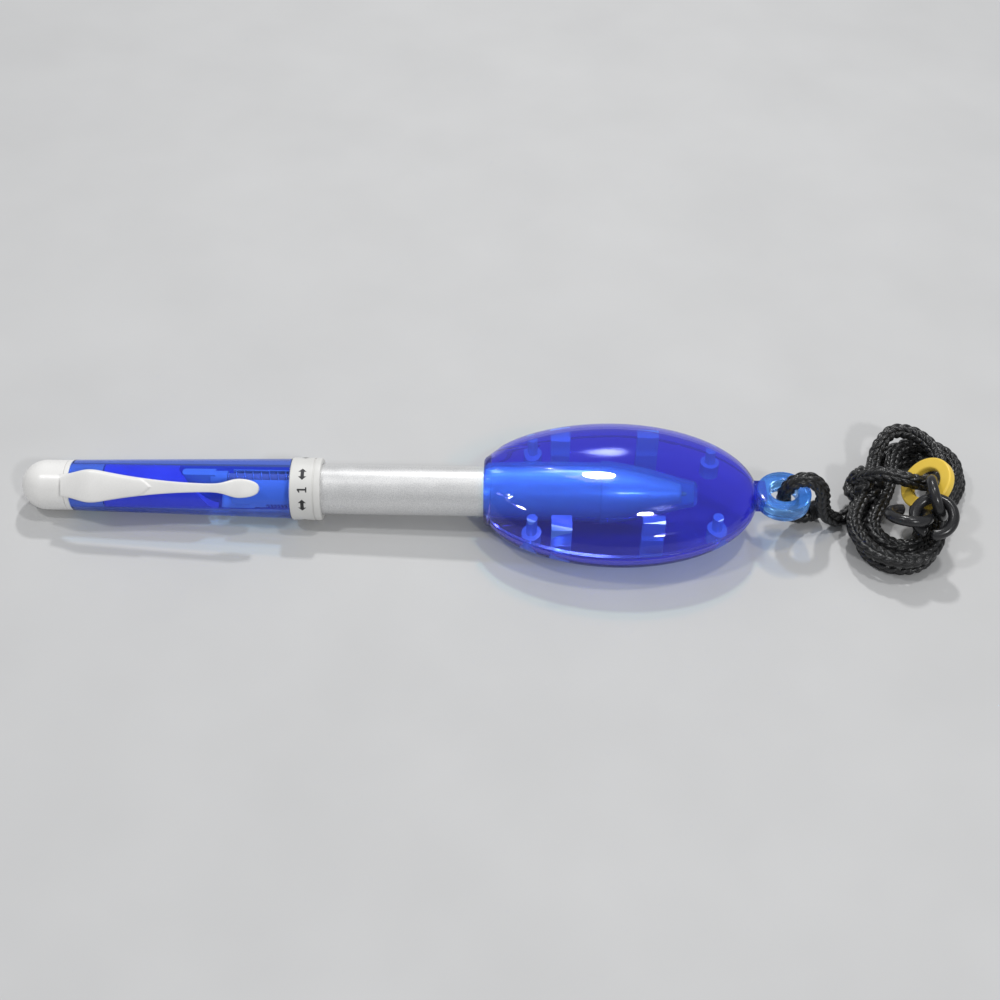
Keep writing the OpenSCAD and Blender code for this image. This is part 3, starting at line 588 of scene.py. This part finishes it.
ring_places = [(103.21, -5.77, 11.34), (108.19, -6.38, 11.99), (109.38, -1.88, 12.94)]
ring_axes = [(0.01, 0.48, 0.88), (0.23, 0.42, -0.88), (0.89, -0.03, 0.46)]
arc = np.radians(np.linspace(0, SPLIT_ARC, 121))
ring_path = SPLIT_R * np.stack([np.cos(arc), np.sin(arc), 0 * arc], axis=-1)
from_end = SPLIT_R * np.minimum(arc, arc[-1] - arc)
ring_end = np.sqrt(np.clip(1 - (1 - np.minimum(from_end / SPLIT_SOFT_END, 1)) ** 2, 0.3, 1))
ring_tube = tube(ring_path, SPLIT_WIRE_R * ring_end[:, None], 36)
split_rings = [
    piece(f"black_ring_{k + 1}", [(facing(ring_tube, place, axis) * MM, False, True)],
          ring_black, "sheath", (f"split_ring_{k + 1}",))
    for k, (place, axis) in enumerate(zip(ring_places, ring_axes))
]

section = rounded([[3.4, -1.0], [6.0, -1.0], [6.0, 1.0], [3.4, 1.0]], 0.55, 8, closed=True)
r, h = section.T[:, :, None]
a = round_angles(96)
flat_ring = facing(np.stack([r * np.cos(a), r * np.sin(a), h + 0 * a], axis=-1),
                   (108.72, 3.43, 11.52), (-0.73, -0.1, 0.68))
yellow_ring = piece("cord_ring_yellow", [(flat_ring * MM, True, True)],
                    tag_yellow, "sheath", ("yellow_ring",))

# %% [markdown]
# The station where the cord leaves the eye, on the pen's axis, and the number of pieces on the cord.

# %% Where the cord leaves the eye
S_EYE = 161.44
tuple(laid(S_EYE, 0, 0))
print("on the cord:", 3 + len(split_rings), "pieces")

# %% [markdown]
# ## The sheath
# Two shells, an upper and a lower one, meet at a parting line round the middle. Each is half of an
# oval dome, with a round spine that leads the pen in at the mouth. The height is a formula of the
# place on the plan, so the outer face, the inner face and the rim are one grid that loops through all
# of them.

# %% Height of the dome
HALF_LEN, HALF_W, HALF_H, WALL = 30.0, 18.3, 8.7, 1.5
S_MOUTH, S_OVAL = 98.0, 125.99
SPINE_W, SPINE_H, MOUTH_CUT = 7.6, 7.9, 27.99
MOUTH_ROUND, MOUTH_DRAW = 5.0, 0.16
PLAN_POWER = 0.48


def quarter_oval(share):
    """Height of a unit circle over the share of its radius, and nothing beyond it."""
    return np.sqrt(np.clip(1 - np.minimum(1, share) ** 2, 0, 1))


def plan_half_width(x):
    """Half width of the oval at x, a little fuller towards the mouth and never under the spine's."""
    oval = HALF_W * np.clip(1 - (x / HALF_LEN) ** 2, 0, 1) ** np.where(x < 0, PLAN_POWER, 0.5)
    return np.where(x < 0, np.maximum(oval, SPINE_W), oval)


def dome_height(x, v, up):
    """The higher of the dome and the spine, blended over 0.1 mm, and over more towards the mouth.

    With e the oval's share of its width at x and g the share of the height across it, the dome is
    8.7 e^0.8 g^0.7, and on the mouth's side e^0.35 above and e^0.85 below; the spine is half an ellipse
    across the pen."""
    mouth_power, mouth_soft = (0.35, 1.4) if up > 0 else (0.85, 0.8)
    e = np.sqrt(np.clip(1 - (x / HALF_LEN) ** 2, 0, 1))
    oval = HALF_W * e ** np.where(x < 0, 2 * PLAN_POWER, 1.0)
    g = quarter_oval(np.abs(v) / np.maximum(oval, 1e-6))
    dome = HALF_H * e ** np.where(x < 0, mouth_power, 0.8) * g**0.7
    spine = np.where(x < 0, SPINE_H * quarter_oval(np.abs(v) / SPINE_W), 0)
    soft = 0.1 + mouth_soft * np.clip((-x - 8) / 14, 0, 1)
    soft = soft * np.clip(np.minimum(dome, spine) / 2, 0, 1)
    return 0.5 * (dome + spine + np.sqrt((dome - spine) ** 2 + soft**2))


def mouth_factor(x):
    """Draws the outer face in at the mouth, as a quarter of an ellipse 5 mm long, down to 0.84."""
    d = np.clip((x + MOUTH_CUT) / MOUTH_ROUND, 0, 1)
    return 1 - MOUTH_DRAW * (1 - np.sqrt(1 - (1 - d) ** 2))


def half_surface(x0, x1, inset, up, rows=96, cols=85):
    """Rows across the half dome from x0 to x1, drawn in by inset all round."""
    a = np.linspace(math.acos(-x0 / HALF_LEN), math.acos(-x1 / HALF_LEN), rows)
    x = (-HALF_LEN * np.cos(a))[:, None]
    f = np.sin(np.linspace(-np.pi / 2, np.pi / 2, cols))[None, :]
    full = plan_half_width(x)
    lip = 1 if inset else mouth_factor(x)
    y = np.maximum(full - inset, 0.1) * f * lip
    z = dome_height(x, full * f, up) * (1 - inset / HALF_H) * lip
    return np.stack([x + 0 * f, y, z], axis=-1)


print("top of the dome, mm:", round(float(dome_height(np.array(0.0), np.array(0.0), 1)), 2))

# %% [markdown]
# A shell's section runs through the mouth's hole, out along the outer face and back along the inner
# one. The parting line is closed by a flat rim. The two shells stand a hair apart, because a path
# tracer can't tell which of two faces in one plane comes first.

# %% Shell, rim and eye
SEAM = 0.03
MOUTH_WALL, END_INSET, MOUTH_HOLE_R = 1.8, 1.4, 6.25
EYE_R, EYE_HOLE, EYE_T = 5.85, 2.9, 1.9


def shell_grid(up):
    """One loop of rows: through the mouth's hole, along the outer face, and back along the inner one."""
    outer = half_surface(-MOUTH_CUT, HALF_LEN - 0.02, 0, up)
    inner = half_surface(-MOUTH_CUT + MOUTH_WALL, HALF_LEN - END_INSET, WALL, up)[::-1]
    a = np.linspace(np.pi, 0, outer.shape[1])
    hole = np.stack([0 * a - MOUTH_CUT, MOUTH_HOLE_R * np.cos(a), MOUTH_HOLE_R * np.sin(a)], axis=-1)
    rows = np.concatenate([[hole + [MOUTH_WALL, 0, 0], hole], outer, inner])
    return laid(S_OVAL + rows[..., 0], rows[..., 1], up * (rows[..., 2] + SEAM)), rows


def rim_grids(rows, up):
    """The flat rim at the parting line: the loop's edge on either side, folded so that each outer
    point faces its inner one."""
    half = len(rows) // 2
    grids = []
    for edge in (0, -1):
        line = rows[:, edge]
        pair = np.stack([line[1 : half + 1], np.roll(line, -1, axis=0)[::-1][:half]], axis=1)
        grids.append((laid(S_OVAL + pair[..., 0], pair[..., 1], up * SEAM + 0 * pair[..., 2]), False, False))
    return grids


def eye_grid(up):
    """Half of a ring with soft edges, turned about an upright axis."""
    corners = [[EYE_HOLE, SEAM], [EYE_HOLE, EYE_T], [EYE_R, EYE_T], [EYE_R, SEAM]]
    r, h = rounded(corners, [0.05, 1.1, 1.3, 0.05], 9, closed=True).T[:, :, None]
    a = round_angles(96)
    return laid(S_EYE + r * np.cos(a), r * np.sin(a), up * h), True, True


print("rows round a shell:", len(shell_grid(1)[1]))

# %% [markdown]
# Inside stand the posts that hold the shells together: round pins above that enter sockets below, square
# bosses and flat lugs. They are thick, so they look paler than the wall, and they get a milkier plastic.

# %% Shells with their posts and half an eye each
circle = np.stack([np.cos(round_angles(96)), np.sin(round_angles(96))], axis=-1)[::3]
square = rounded([[-1, -1], [1, -1], [1, 1], [-1, 1]], 0.15, 4, closed=True)
pins, boss, lug = [(10.3, 11.3), (48.4, 9.6)], (16.3, 12.6), (35.0, 12.2)
PIN_R, PIN_SOCKET_R, PIN_CORNER = 1.1, 2.0, 1.43
BOSS_HALF, LUG_HALF_LEN, LUG_HALF_W = 2.1, 2.3, 1.1


def post(s, y, outline, z0, z1, up):
    """A straight post from z0 to z1 with a closed outline, and flat ends drawn in to a point."""
    spread = np.array([0, 1, 1, 0])[:, None]
    z = np.array([z0, z0, z1, z1])[:, None] + 0 * outline[:, 0]
    return laid(s + spread * outline[:, 0], y + spread * outline[:, 1], up * z), False, True


def inner_post(place, side, outline, corner, up):
    """A post inside a shell: it ends in the wall, at the lowest of its outer corners."""
    s, y = S_MOUTH + place[0], place[1]
    ends = s - S_OVAL + np.array([-corner, corner])
    top = float(dome_height(ends, y + corner, up).min()) - WALL / 3
    return post(s, side * y, outline, SEAM, top, up)


def shell_piece(name, up, node, finish):
    """A shell: its dome with the rim and the neck, half of the eye, and the posts inside."""
    grid, rows = shell_grid(up)
    posts = []
    for side in (1, -1):
        for pin in pins:
            posts.append(inner_post(pin, side, circle * (PIN_R if up > 0 else PIN_SOCKET_R), PIN_CORNER, up))
        posts.append(inner_post(boss, side, square * BOSS_HALF, BOSS_HALF, up))
        posts.append(inner_post(lug, side, square * [LUG_HALF_LEN, LUG_HALF_W], LUG_HALF_LEN, up))
    neck = post(S_OVAL + 30.1, 0, square * [1.6, 2.8], SEAM, 1.8, up)
    piece(name.replace("shell", "posts"), posts, post_blue, "sheath", (node,), sharp=50)
    piece(name.replace("shell", "eye"), [eye_grid(up)], eye_blue, "sheath", (node,))
    shell = [(grid, True, False), *rim_grids(rows, up), neck]
    piece(name, shell, finish, "sheath", (node,), sharp=50)


shell_piece("sheath_upper_shell", 1, "sheath_top", sheath_blue)
# The lower shell takes the shaded copy of the plastic, which paints the darker shadow under the sheath.
shell_piece("sheath_lower_shell", -1, "sheath_bottom", sheath_blue_below_painted_shadow)

# %% [markdown]
# ## The pen
# Every part of the barrel was turned or moulded round, so each is a profile of station and radius,
# rounded at its corners and carried round the axis. The nose is an ogive: its radius falls with the
# power 1.5 of the way along it.

# %% Barrels, nose and socket
S_BARREL, S_COLLAR, S_LOWER, S_NOSE, S_END = 10.9, 57.5, 63.9, 122.6, 139.5
BARREL_R, BARREL_END_R, BARREL_BORE, LOWER_R = 5.4, 6.35, 4.56, 5.3
NOSE_FALL, NOSE_POWER = 3.35, 1.5
S_PLUG, PLUG_R, NOSE_BORE = 116.6, 4.25, 3.82
SOCKET_IN, SOCKET_OUT, S_SOCKET_END = 0.5, 1.3, 142.8


def nose_radius(s):
    """5.3 mm at the barrel, less 3.35 times the 1.5th power of the share of the nose that is passed."""
    return LOWER_R - NOSE_FALL * (np.clip(s - S_NOSE, 0, None) / (S_END - S_NOSE)) ** NOSE_POWER


def nose_run(start, stop, out):
    """Points along the nose, out by a distance from its surface."""
    s = np.linspace(start, stop, 40)
    return np.stack([s, nose_radius(s) + out], axis=-1)


barrel_line = rounded(
    [[S_BARREL + 0.05, BARREL_BORE], [S_BARREL + 0.05, BARREL_R], [S_COLLAR - 0.05, BARREL_END_R],
     [S_COLLAR - 0.05, 5.85], [60.5, 5.85], [60.5, BARREL_BORE]],
    [0.1, 0.25, 0.2, 0.05, 0.2, 0.1], 6, closed=True)
piece("clear_upper_barrel", [turned(barrel_line, 1.2, closed=True)],
      barrel_blue, "upper", ("upper_barrel",))

lower_line = rounded(
    [[58.7, 3.9], [58.7, 4.47], [60.8, 4.47], [60.8, LOWER_R], [S_NOSE - 0.04, LOWER_R],
     [S_NOSE - 0.04, 4.3], [62, 4.3], [62, 3.9]],
    [0.1, 0.1, 0.05, 0.2, 0.12, 0.05, 0.05, 0.05], 5, closed=True)
piece("silver_lower_barrel", [turned(lower_line, 1.5, closed=True)],
      silver_paint, "pen", ("lower_barrel",))

nose_line = np.concatenate([
    [[S_PLUG, NOSE_BORE], [S_PLUG, PLUG_R], [S_NOSE + 0.04, PLUG_R]],
    nose_run(S_NOSE + 0.04, S_END - 0.3, 0),
    [[S_END - 0.08, 1.85], [S_END, 1.65], [S_END, 1.36], [129.76, NOSE_BORE], [S_PLUG, NOSE_BORE]],
])
piece("silver_nose", [turned(nose_line, 0.8)], silver_paint, "pen", ("nose_cone",), sharp=40)

socket_line = np.concatenate([
    [[142.0, 0], [142.0, 1.85]],
    nose_run(S_NOSE, S_END, SOCKET_IN)[::-1],
    [[S_NOSE, 5.42], [98.3, 5.42], [98.0, 5.6], [98.0, 6.1], [98.1, 6.22], [S_NOSE, 6.22]],
    nose_run(S_NOSE, S_END, SOCKET_OUT),
    [[142.4, 2.65], [S_SOCKET_END, 2.3], [S_SOCKET_END, 0]],
])
piece("sheath_socket", [turned(socket_line, 1.5)],
      socket_blue, "sheath", ("pen_socket",), sharp=40)

# %% [markdown]
# The cap is a dome with a skirt and a plug. The collar closes the other end of the upper barrel and
# turns with it. A groove near its lower rim sets off a narrow lip.

# %% Cap and collar
CAP_R, CAP_PLUG_R, CAP_BORE, S_CAP_PLUG = 5.3, 4.5, 3.5, 17.9
COLLAR_OUT_R, COLLAR_BORE, COLLAR_GROOVE_R = 6.6, 5.42, 6.4

q = np.linspace(0, np.pi / 2, 40)
cap_line = np.concatenate([
    np.stack([CAP_R * (1 - np.cos(q)), CAP_R * np.sin(q)], axis=-1),
    [[9.6, CAP_R], [9.78, 5.26], [9.85, 5.15], [9.85, CAP_PLUG_R], [S_CAP_PLUG, CAP_PLUG_R],
     [S_CAP_PLUG, CAP_BORE], [9.9, CAP_BORE], [9.9, 0]],
])
piece("white_cap", [turned(cap_line, 0.6)], satin_white, "upper", ("end_cap",), sharp=40)

collar_line = rounded(
    [[S_COLLAR, COLLAR_BORE], [S_COLLAR, COLLAR_OUT_R], [62.3, COLLAR_OUT_R], [62.3, COLLAR_GROOVE_R],
     [62.55, COLLAR_GROOVE_R], [62.55, COLLAR_OUT_R], [S_LOWER, COLLAR_OUT_R], [S_LOWER, COLLAR_BORE]],
    [0.1, 0.35, 0.12, 0.04, 0.04, 0.12, 0.35, 0.1], 6, closed=True)
piece("turning_collar", [turned(collar_line, 0.5, closed=True)],
      collar_grey, "upper", ("selector_collar",))

# %% [markdown]
# The collar says which refill is out. Plain numbers and double arrows stand on it here. A number comes
# from a text object, made a mesh, or from a drawn outline, and is then bent: a flat point (x, y) goes
# to the angle x over the radius and to the station y, so it hugs the ring.

# %% Bending a mark round the collar
MARK_R, MARK_S, NUMBER_SIZE = 6.615, 60.2, 2.8


def on_collar(flat, angle):
    """Bends flat points round the collar: x runs up round it from the angle, and y runs towards the
    cap."""
    turn = angle + flat[:, 0] / MARK_R
    return laid(MARK_S - flat[:, 1], -MARK_R * np.cos(turn), MARK_R * np.sin(turn))


def collar_mark(name, flat, cells, angle):
    """A thin printed mark on the collar, as a mesh of its own."""
    mesh = bpy.data.meshes.new(name)
    mesh.from_pydata(np.pad(flat, ((0, 0), (0, 1))), [], cells)
    shape = bmesh.new()
    shape.from_mesh(mesh)
    bmesh.ops.triangulate(shape, faces=shape.faces)
    bmesh.ops.subdivide_edges(shape, edges=shape.edges, cuts=5)
    shape.to_mesh(mesh)
    shape.free()
    level = np.empty(len(mesh.vertices) * 3)
    mesh.vertices.foreach_get("co", level)
    mesh.vertices.foreach_set("co", on_collar(level.reshape(-1, 3), angle).ravel())
    mesh.update()
    mesh.materials.append(legend_ink)
    mark = bpy.data.objects.new(name, mesh)
    bpy.context.collection.objects.link(mark)
    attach(mark, "upper")
    return mark


def number_outline(text):
    """Flat points and faces of a number, centred, from Blender's own font."""
    words = bpy.data.objects.new("number", bpy.data.curves.new("number", "FONT"))
    words.data.body, words.data.size = text, NUMBER_SIZE
    words.data.resolution_u, words.data.offset = 4, 0.05
    bpy.context.collection.objects.link(words)
    bpy.context.view_layer.update()
    shape = bpy.data.meshes.new_from_object(words.evaluated_get(bpy.context.evaluated_depsgraph_get()))
    points = np.empty(len(shape.vertices) * 3)
    shape.vertices.foreach_get("co", points)
    points = points.reshape(-1, 3)
    cells = [list(p.vertices) for p in shape.polygons]
    bpy.data.objects.remove(words)
    return points - (points.min(axis=0) + points.max(axis=0)) / 2, cells


# %% Numbers and arrows on the collar
arrow = np.array([
    [-1.5, 0], [-0.6, 0.85], [-0.6, 0.36], [0.6, 0.36], [0.6, 0.85],
    [1.5, 0], [0.6, -0.85], [0.6, -0.36], [-0.6, -0.36], [-0.6, -0.85],
]) * [0.9, 1.0]
arrow_cells = [[0, 1, 2, 8, 9], [2, 3, 7, 8], [3, 4, 5, 6, 7]]
one = np.array([
    [-0.55, -1], [0.55, -1], [0.55, -0.72], [0.2, -0.72], [0.2, 1], [-0.08, 1],
    [-0.62, 0.62], [-0.48, 0.38], [-0.16, 0.6], [-0.16, -0.72], [-0.55, -0.72],
])
facing_camera, arrow_off = math.radians(44), 0.52
marks = []
for k in range(3):
    middle = facing_camera - k * 2 * np.pi / 3
    flat, cells = number_outline(str(k + 1)) if k else (one, [list(range(len(one)))])
    marks.append(collar_mark(f"number_{k + 1}", flat[:, :2], cells, middle))
    for n, off in enumerate((-arrow_off, arrow_off)):
        marks.append(collar_mark(f"arrow_{k + 1}_{n + 1}", arrow, arrow_cells, middle + off))
print("marks on the collar:", len(marks))

# %% [markdown]
# ## The clip
# The clip is moulded white plastic: a wide leaf near the cap, an arm that narrows to a neck, and a
# bulb that bears on the pocket. The leaf stands a little proud and ends in a point over the arm. One
# grid holds it all: a width and an under and upper height at each station, and a step of height inside
# the leaf's edge.

# %% Widths of the clip
CLIP_START, CLIP_LEN, CLIP_TURN = 9.9, 41.5, math.radians(135)
LEAF, NECK, BULB, TONGUE = 0.16, 0.78, 0.9, 0.46
ROOT_W, LEAF_W, NECK_W, BULB_W, TIP_W = 4.6, 7.2, 1.8, 4.0, 0.7


def ease(t):
    """A smooth step: 3t^2 - 2t^3 between 0 and 1."""
    t = np.clip(t, 0, 1)
    return t * t * (3 - 2 * t)


def clip_half_width(f):
    """Half width at the share f of the length: it widens to the leaf, falls as a square to the neck,
    swells to the bulb and rounds off."""
    root = ROOT_W + (LEAF_W - ROOT_W) * ease(f / LEAF)
    arm = NECK_W + (LEAF_W - NECK_W) * np.clip(1 - (f - LEAF) / (NECK - LEAF), 0, 1) ** 2
    swell = NECK_W + (BULB_W - NECK_W) * ease((f - NECK) / (BULB - NECK))
    tip = TIP_W + (BULB_W - TIP_W) * np.sqrt(np.clip(1 - ((f - BULB) / (1 - BULB)) ** 2, 0, 1))
    return 0.5 * np.select([f > BULB, f > NECK, f < LEAF], [tip, swell, root], arm)


def leaf_half_width(f):
    """Half width of the raised leaf: all of the clip near the cap, closing to a tongue at 0.46."""
    return np.clip(3.3 * (1 - (f / TONGUE) ** 6), -1, None)


def evened(shape, f, reach=0.045):
    """The mean of a shape over a reach to both sides, which takes the kinks out of it."""
    near = np.linspace(-reach, reach, 15)
    return np.mean([shape(np.clip(f + d * np.clip((0.95 - f) / 0.2, 0, 1), 0, 1)) for d in near], axis=0)


print("clip width at the leaf, mm:", round(2 * float(evened(clip_half_width, np.array(LEAF))), 2))

# %% Pocket clip
RING_R, CLIP_GAP, CLIP_TOP = 5.27, 0.9, 2.4
ROOT_DROP, BULB_DROP, TIP_DROP, LEAF_STEP = 1.1, 0.6, 0.6, 0.34

f = np.linspace(0, 1, 220)[:, None]
s = CLIP_START + CLIP_LEN * f
on_barrel = BARREL_R + (BARREL_END_R - BARREL_R) * (s - S_BARREL) / (S_COLLAR - S_BARREL)
w = evened(clip_half_width, f)
root_under = RING_R + (on_barrel + CLIP_GAP - RING_R) * ease(f / LEAF)
arm_under = on_barrel + CLIP_GAP - BULB_DROP * ease((f - NECK) / (BULB - NECK))
under = np.where(f < LEAF, root_under, arm_under)
over = on_barrel + CLIP_TOP - ROOT_DROP * (1 - ease(f / LEAF)) - TIP_DROP * ease((f - BULB) / (1 - BULB))

a = np.linspace(0, np.pi, 61)[None, :]
v = -w * np.cos(a)
crown = under + (over - under) * (0.4 + 0.6 * np.sqrt(np.clip(np.sin(a), 0, 1)))
crown = crown - LEAF_STEP * (1 - ease((leaf_half_width(f) - np.abs(v)) / 0.5 + 0.5)) * np.sin(a)
bottom_v = np.linspace(1, -1, 13)[None, 1:-1] * w
saddle = (RING_R - np.sqrt(RING_R**2 - bottom_v**2)) * (1 - ease(f / 0.1))
line_v = np.concatenate([v, bottom_v], axis=1)
line_h = np.concatenate([crown, under - saddle], axis=1)
clip_y = line_h * math.cos(CLIP_TURN) - line_v * math.sin(CLIP_TURN)
clip_z = line_h * math.sin(CLIP_TURN) + line_v * math.cos(CLIP_TURN)
clip_grid = laid(s + 0 * line_v, clip_y, clip_z)
middles = clip_grid.mean(axis=1, keepdims=True) + 0 * clip_grid
clip_grid = np.concatenate([middles[:1], clip_grid, middles[-1:]])

clip_ring = rounded(
    [[9.92, BARREL_BORE], [9.92, CAP_R], [10.88, CAP_R], [10.88, BARREL_BORE]], 0.1, 5, closed=True)
piece("white_clip", [(clip_grid, False, True), turned(clip_ring, 0.4, closed=True)],
      satin_white, "upper", ("pocket_clip",), sharp=55)

# %% [markdown]
# ## Works inside the barrel
# Steel wire, brass tips and three inks: the wire's and the brass's colour varies with the marks of
# drawing and turning.

# %% Finishes of the works
spring_steel, nodes, links, shader = new_finish("spring_steel", Metallic=0.35)
drawn = noise_on_object(nodes, links, 9000, 2)
steel_tone = blend_colours(nodes, links, drawn, (0.86, 0.88, 0.90), (0.95, 0.96, 0.97))
links.new(steel_tone, shader.inputs["Base Color"])
links.new(between(nodes, links, drawn, 0.22, 0.36), shader.inputs["Roughness"])

tip_brass, nodes, links, shader = new_finish("tip_brass", Metallic=1.0)
turning = noise_on_object(nodes, links, 2600, 2, (6, 1, 1))
brass_tone = blend_colours(nodes, links, turning, (0.62, 0.44, 0.18), (0.76, 0.58, 0.28))
links.new(brass_tone, shader.inputs["Base Color"])
links.new(between(nodes, links, turning, 0.2, 0.34), shader.inputs["Roughness"])

ink_tones = [
    ((0.40, 0.46, 0.74), (0.32, 0.38, 0.68)),
    ((0.80, 0.62, 0.62), (0.74, 0.54, 0.54)),
    ((0.36, 0.36, 0.38), (0.28, 0.28, 0.30)),
]
inks = [moulded_plastic(f"ink_{k + 1}", pale, deep, 0.3) for k, (pale, deep) in enumerate(ink_tones)]
print("inks:", len(inks))

# %% [markdown]
# The springs are wound wire, so each is drawn as a round helix: a point that goes round while it moves
# along. The first spring is baked in place and rides on no body, and the second gets a mesh of its
# own.

# %% Springs
refill_turns = np.radians([210, 90, 330])
REFILL_OUT = 2.6
S_SPRING_STOP, COIL_R, WIRE_R, COILS = 58.19, 1.38, 0.12, 8


def at_refill(k, s, y, z=0.0):
    """Places points beside the axis, turned to the side of the pen on which refill k lies."""
    c, g = math.cos(refill_turns[k]), math.sin(refill_turns[k])
    return laid(s, y * c - z * g, y * g + z * c)


for k, start in enumerate((52.29, 44.29, 44.29)):
    t = np.linspace(0, 1, COILS * 28 + 1)
    s, a = start + (S_SPRING_STOP - start) * t, 2 * np.pi * COILS * t
    coil = at_refill(k, s, REFILL_OUT + COIL_R * np.cos(a), COIL_R * np.sin(a))
    spring = piece(f"coil_spring_{k + 1}", [(tube(coil, WIRE_R * MM, 10), False, True)],
                   spring_steel, "pen" if k else None, (f"spring_{k + 1}",))
    if k == 0:
        tuple(laid(start, 0, 0))
        tuple(laid(S_SPRING_STOP, 0, 0))
        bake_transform(spring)
    elif k == 1:
        tuple(laid(1, 0, 0) - laid(0, 0, 0))
        tuple(laid(S_SPRING_STOP, 0, 0))
        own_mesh(spring)

# %% [markdown]
# Two ink tubes are split at the carrier's end, where the tube neither bends nor moves aside. The first
# lies 8 mm further forward, and its front half comes in from beside the axis to the tip with a smooth
# step. The second runs straight beside the axis. Each half is baked in place and rides on no body.

# %% Ink tubes that bend
S_TUBE_BACK, S_TUBE_FRONT, S_CARRIER, S_BEND = 42.17, 122.8, 56.0, 70.14
TUBE_R, TIP_HOLD = 1.1, 4.0
for k, moved in enumerate((8.0, 0.0)):
    back, front = S_TUBE_BACK + moved, S_TUBE_FRONT + moved
    for half, s0, s1, first, second, start, stop in (
        ("back", back, S_BEND, f"refill_{k + 1}", "pen", S_CARRIER, S_BEND),
        ("front", S_BEND, front, "pen", f"writing_tip_{k + 1}", S_BEND, front - TIP_HOLD),
    ):
        s = np.linspace(s0, s1, 100)
        out = REFILL_OUT * (1 - ease((s - S_BEND) / (front - TIP_HOLD - S_BEND)) * (moved > 0))
        grid = tube(at_refill(k, s, out), TUBE_R * MM, 24)
        ink_tube = piece(f"ink_tube_{k + 1}_{half}", [(grid, False, True)],
                         inks[k], None, (f"ink_tube_{k + 1}",), sharp=50)
        tuple(laid(start, 0, 0))
        tuple(laid(stop, 0, 0))
        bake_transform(ink_tube)

# %% [markdown]
# The cam sleeve, the carrier, the sliders, the third ink tube and the tips are moulded or turned to
# plain shapes, and they show only through the blue. Their CAD solids stay and get finishes.

# %% Finishes on the CAD solids
finish_of = {"cam_sleeve": cam_blue, "refill_carrier": works_white, "ink_tube_3": inks[2]}
finish_of.update({f"slider_{k + 1}": works_white for k in range(3)})
finish_of.update({f"tip_{k + 1}": tip_brass for k in range(3)})
for node, finish in finish_of.items():
    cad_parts[node].data.materials.clear()
    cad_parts[node].data.materials.append(finish)
print("CAD nodes with a finish:", len(finish_of))

# %% [markdown]
# ## Floor and light
# A pale floor and four small round lamps: the strongest stands behind the pen and throws the shadow
# towards the viewer, as in the photograph. One above, one on the left and one in front light the faces
# that the camera sees, and an even sky fills the rest.

# %% Stage
FLOOR_HALF, FLOOR_Z = 3, -0.00002
floor_corners = [(-FLOOR_HALF, -FLOOR_HALF, FLOOR_Z), (FLOOR_HALF, -FLOOR_HALF, FLOOR_Z),
                 (FLOOR_HALF, FLOOR_HALF, FLOOR_Z), (-FLOOR_HALF, FLOOR_HALF, FLOOR_Z)]
floor_mesh = bpy.data.meshes.new("floor")
floor_mesh.from_pydata(floor_corners, [], [(0, 1, 2, 3)])
floor = bpy.data.objects.new("floor", floor_mesh)
bpy.context.collection.objects.link(floor)
pale, nodes, links, shader = new_finish("pale_floor", Roughness=0.7)
clouds = noise_on_object(nodes, links, 30, 3)
floor_tone = blend_colours(nodes, links, clouds, (0.54, 0.54, 0.54), (0.57, 0.57, 0.57))
links.new(floor_tone, shader.inputs["Base Color"])
floor_mesh.materials.append(pale)


def round_lamp(name, place, aim, size, power):
    """A round area lamp at a place, turned to a point."""
    lamp = bpy.data.objects.new(name, bpy.data.lights.new(name, "AREA"))
    lamp.data.shape, lamp.data.size, lamp.data.energy = "DISK", size, power
    lamp.location = place
    lamp.rotation_euler = (Vector(aim) - Vector(place)).to_track_quat("-Z", "Y").to_euler()
    bpy.context.collection.objects.link(lamp)


round_lamp("lamp_behind", (0.05, 0.45, 0.60), (0.02, 0, 0), 0.05, 1.9)
round_lamp("lamp_above", (0.16, 0.06, 0.70), (0.02, 0, 0), 0.06, 1.0)
round_lamp("lamp_left", (-0.30, -0.08, 0.62), (0, 0, 0), 0.06, 0.8)
round_lamp("lamp_front", (0.30, -0.50, 0.50), (0.03, 0, 0), 0.06, 1.3)
sky = bpy.data.worlds.new("sky")
sky.use_nodes = True
sky.node_tree.nodes["Background"].inputs["Color"].default_value = (0.95, 0.97, 1.0, 1)
sky.node_tree.nodes["Background"].inputs["Strength"].default_value = 0.36
bpy.context.scene.world = sky
bpy.context.scene.view_settings.view_transform = "Standard"
print("lamps, W:", {lamp.name: round(lamp.energy, 2) for lamp in bpy.data.lights})
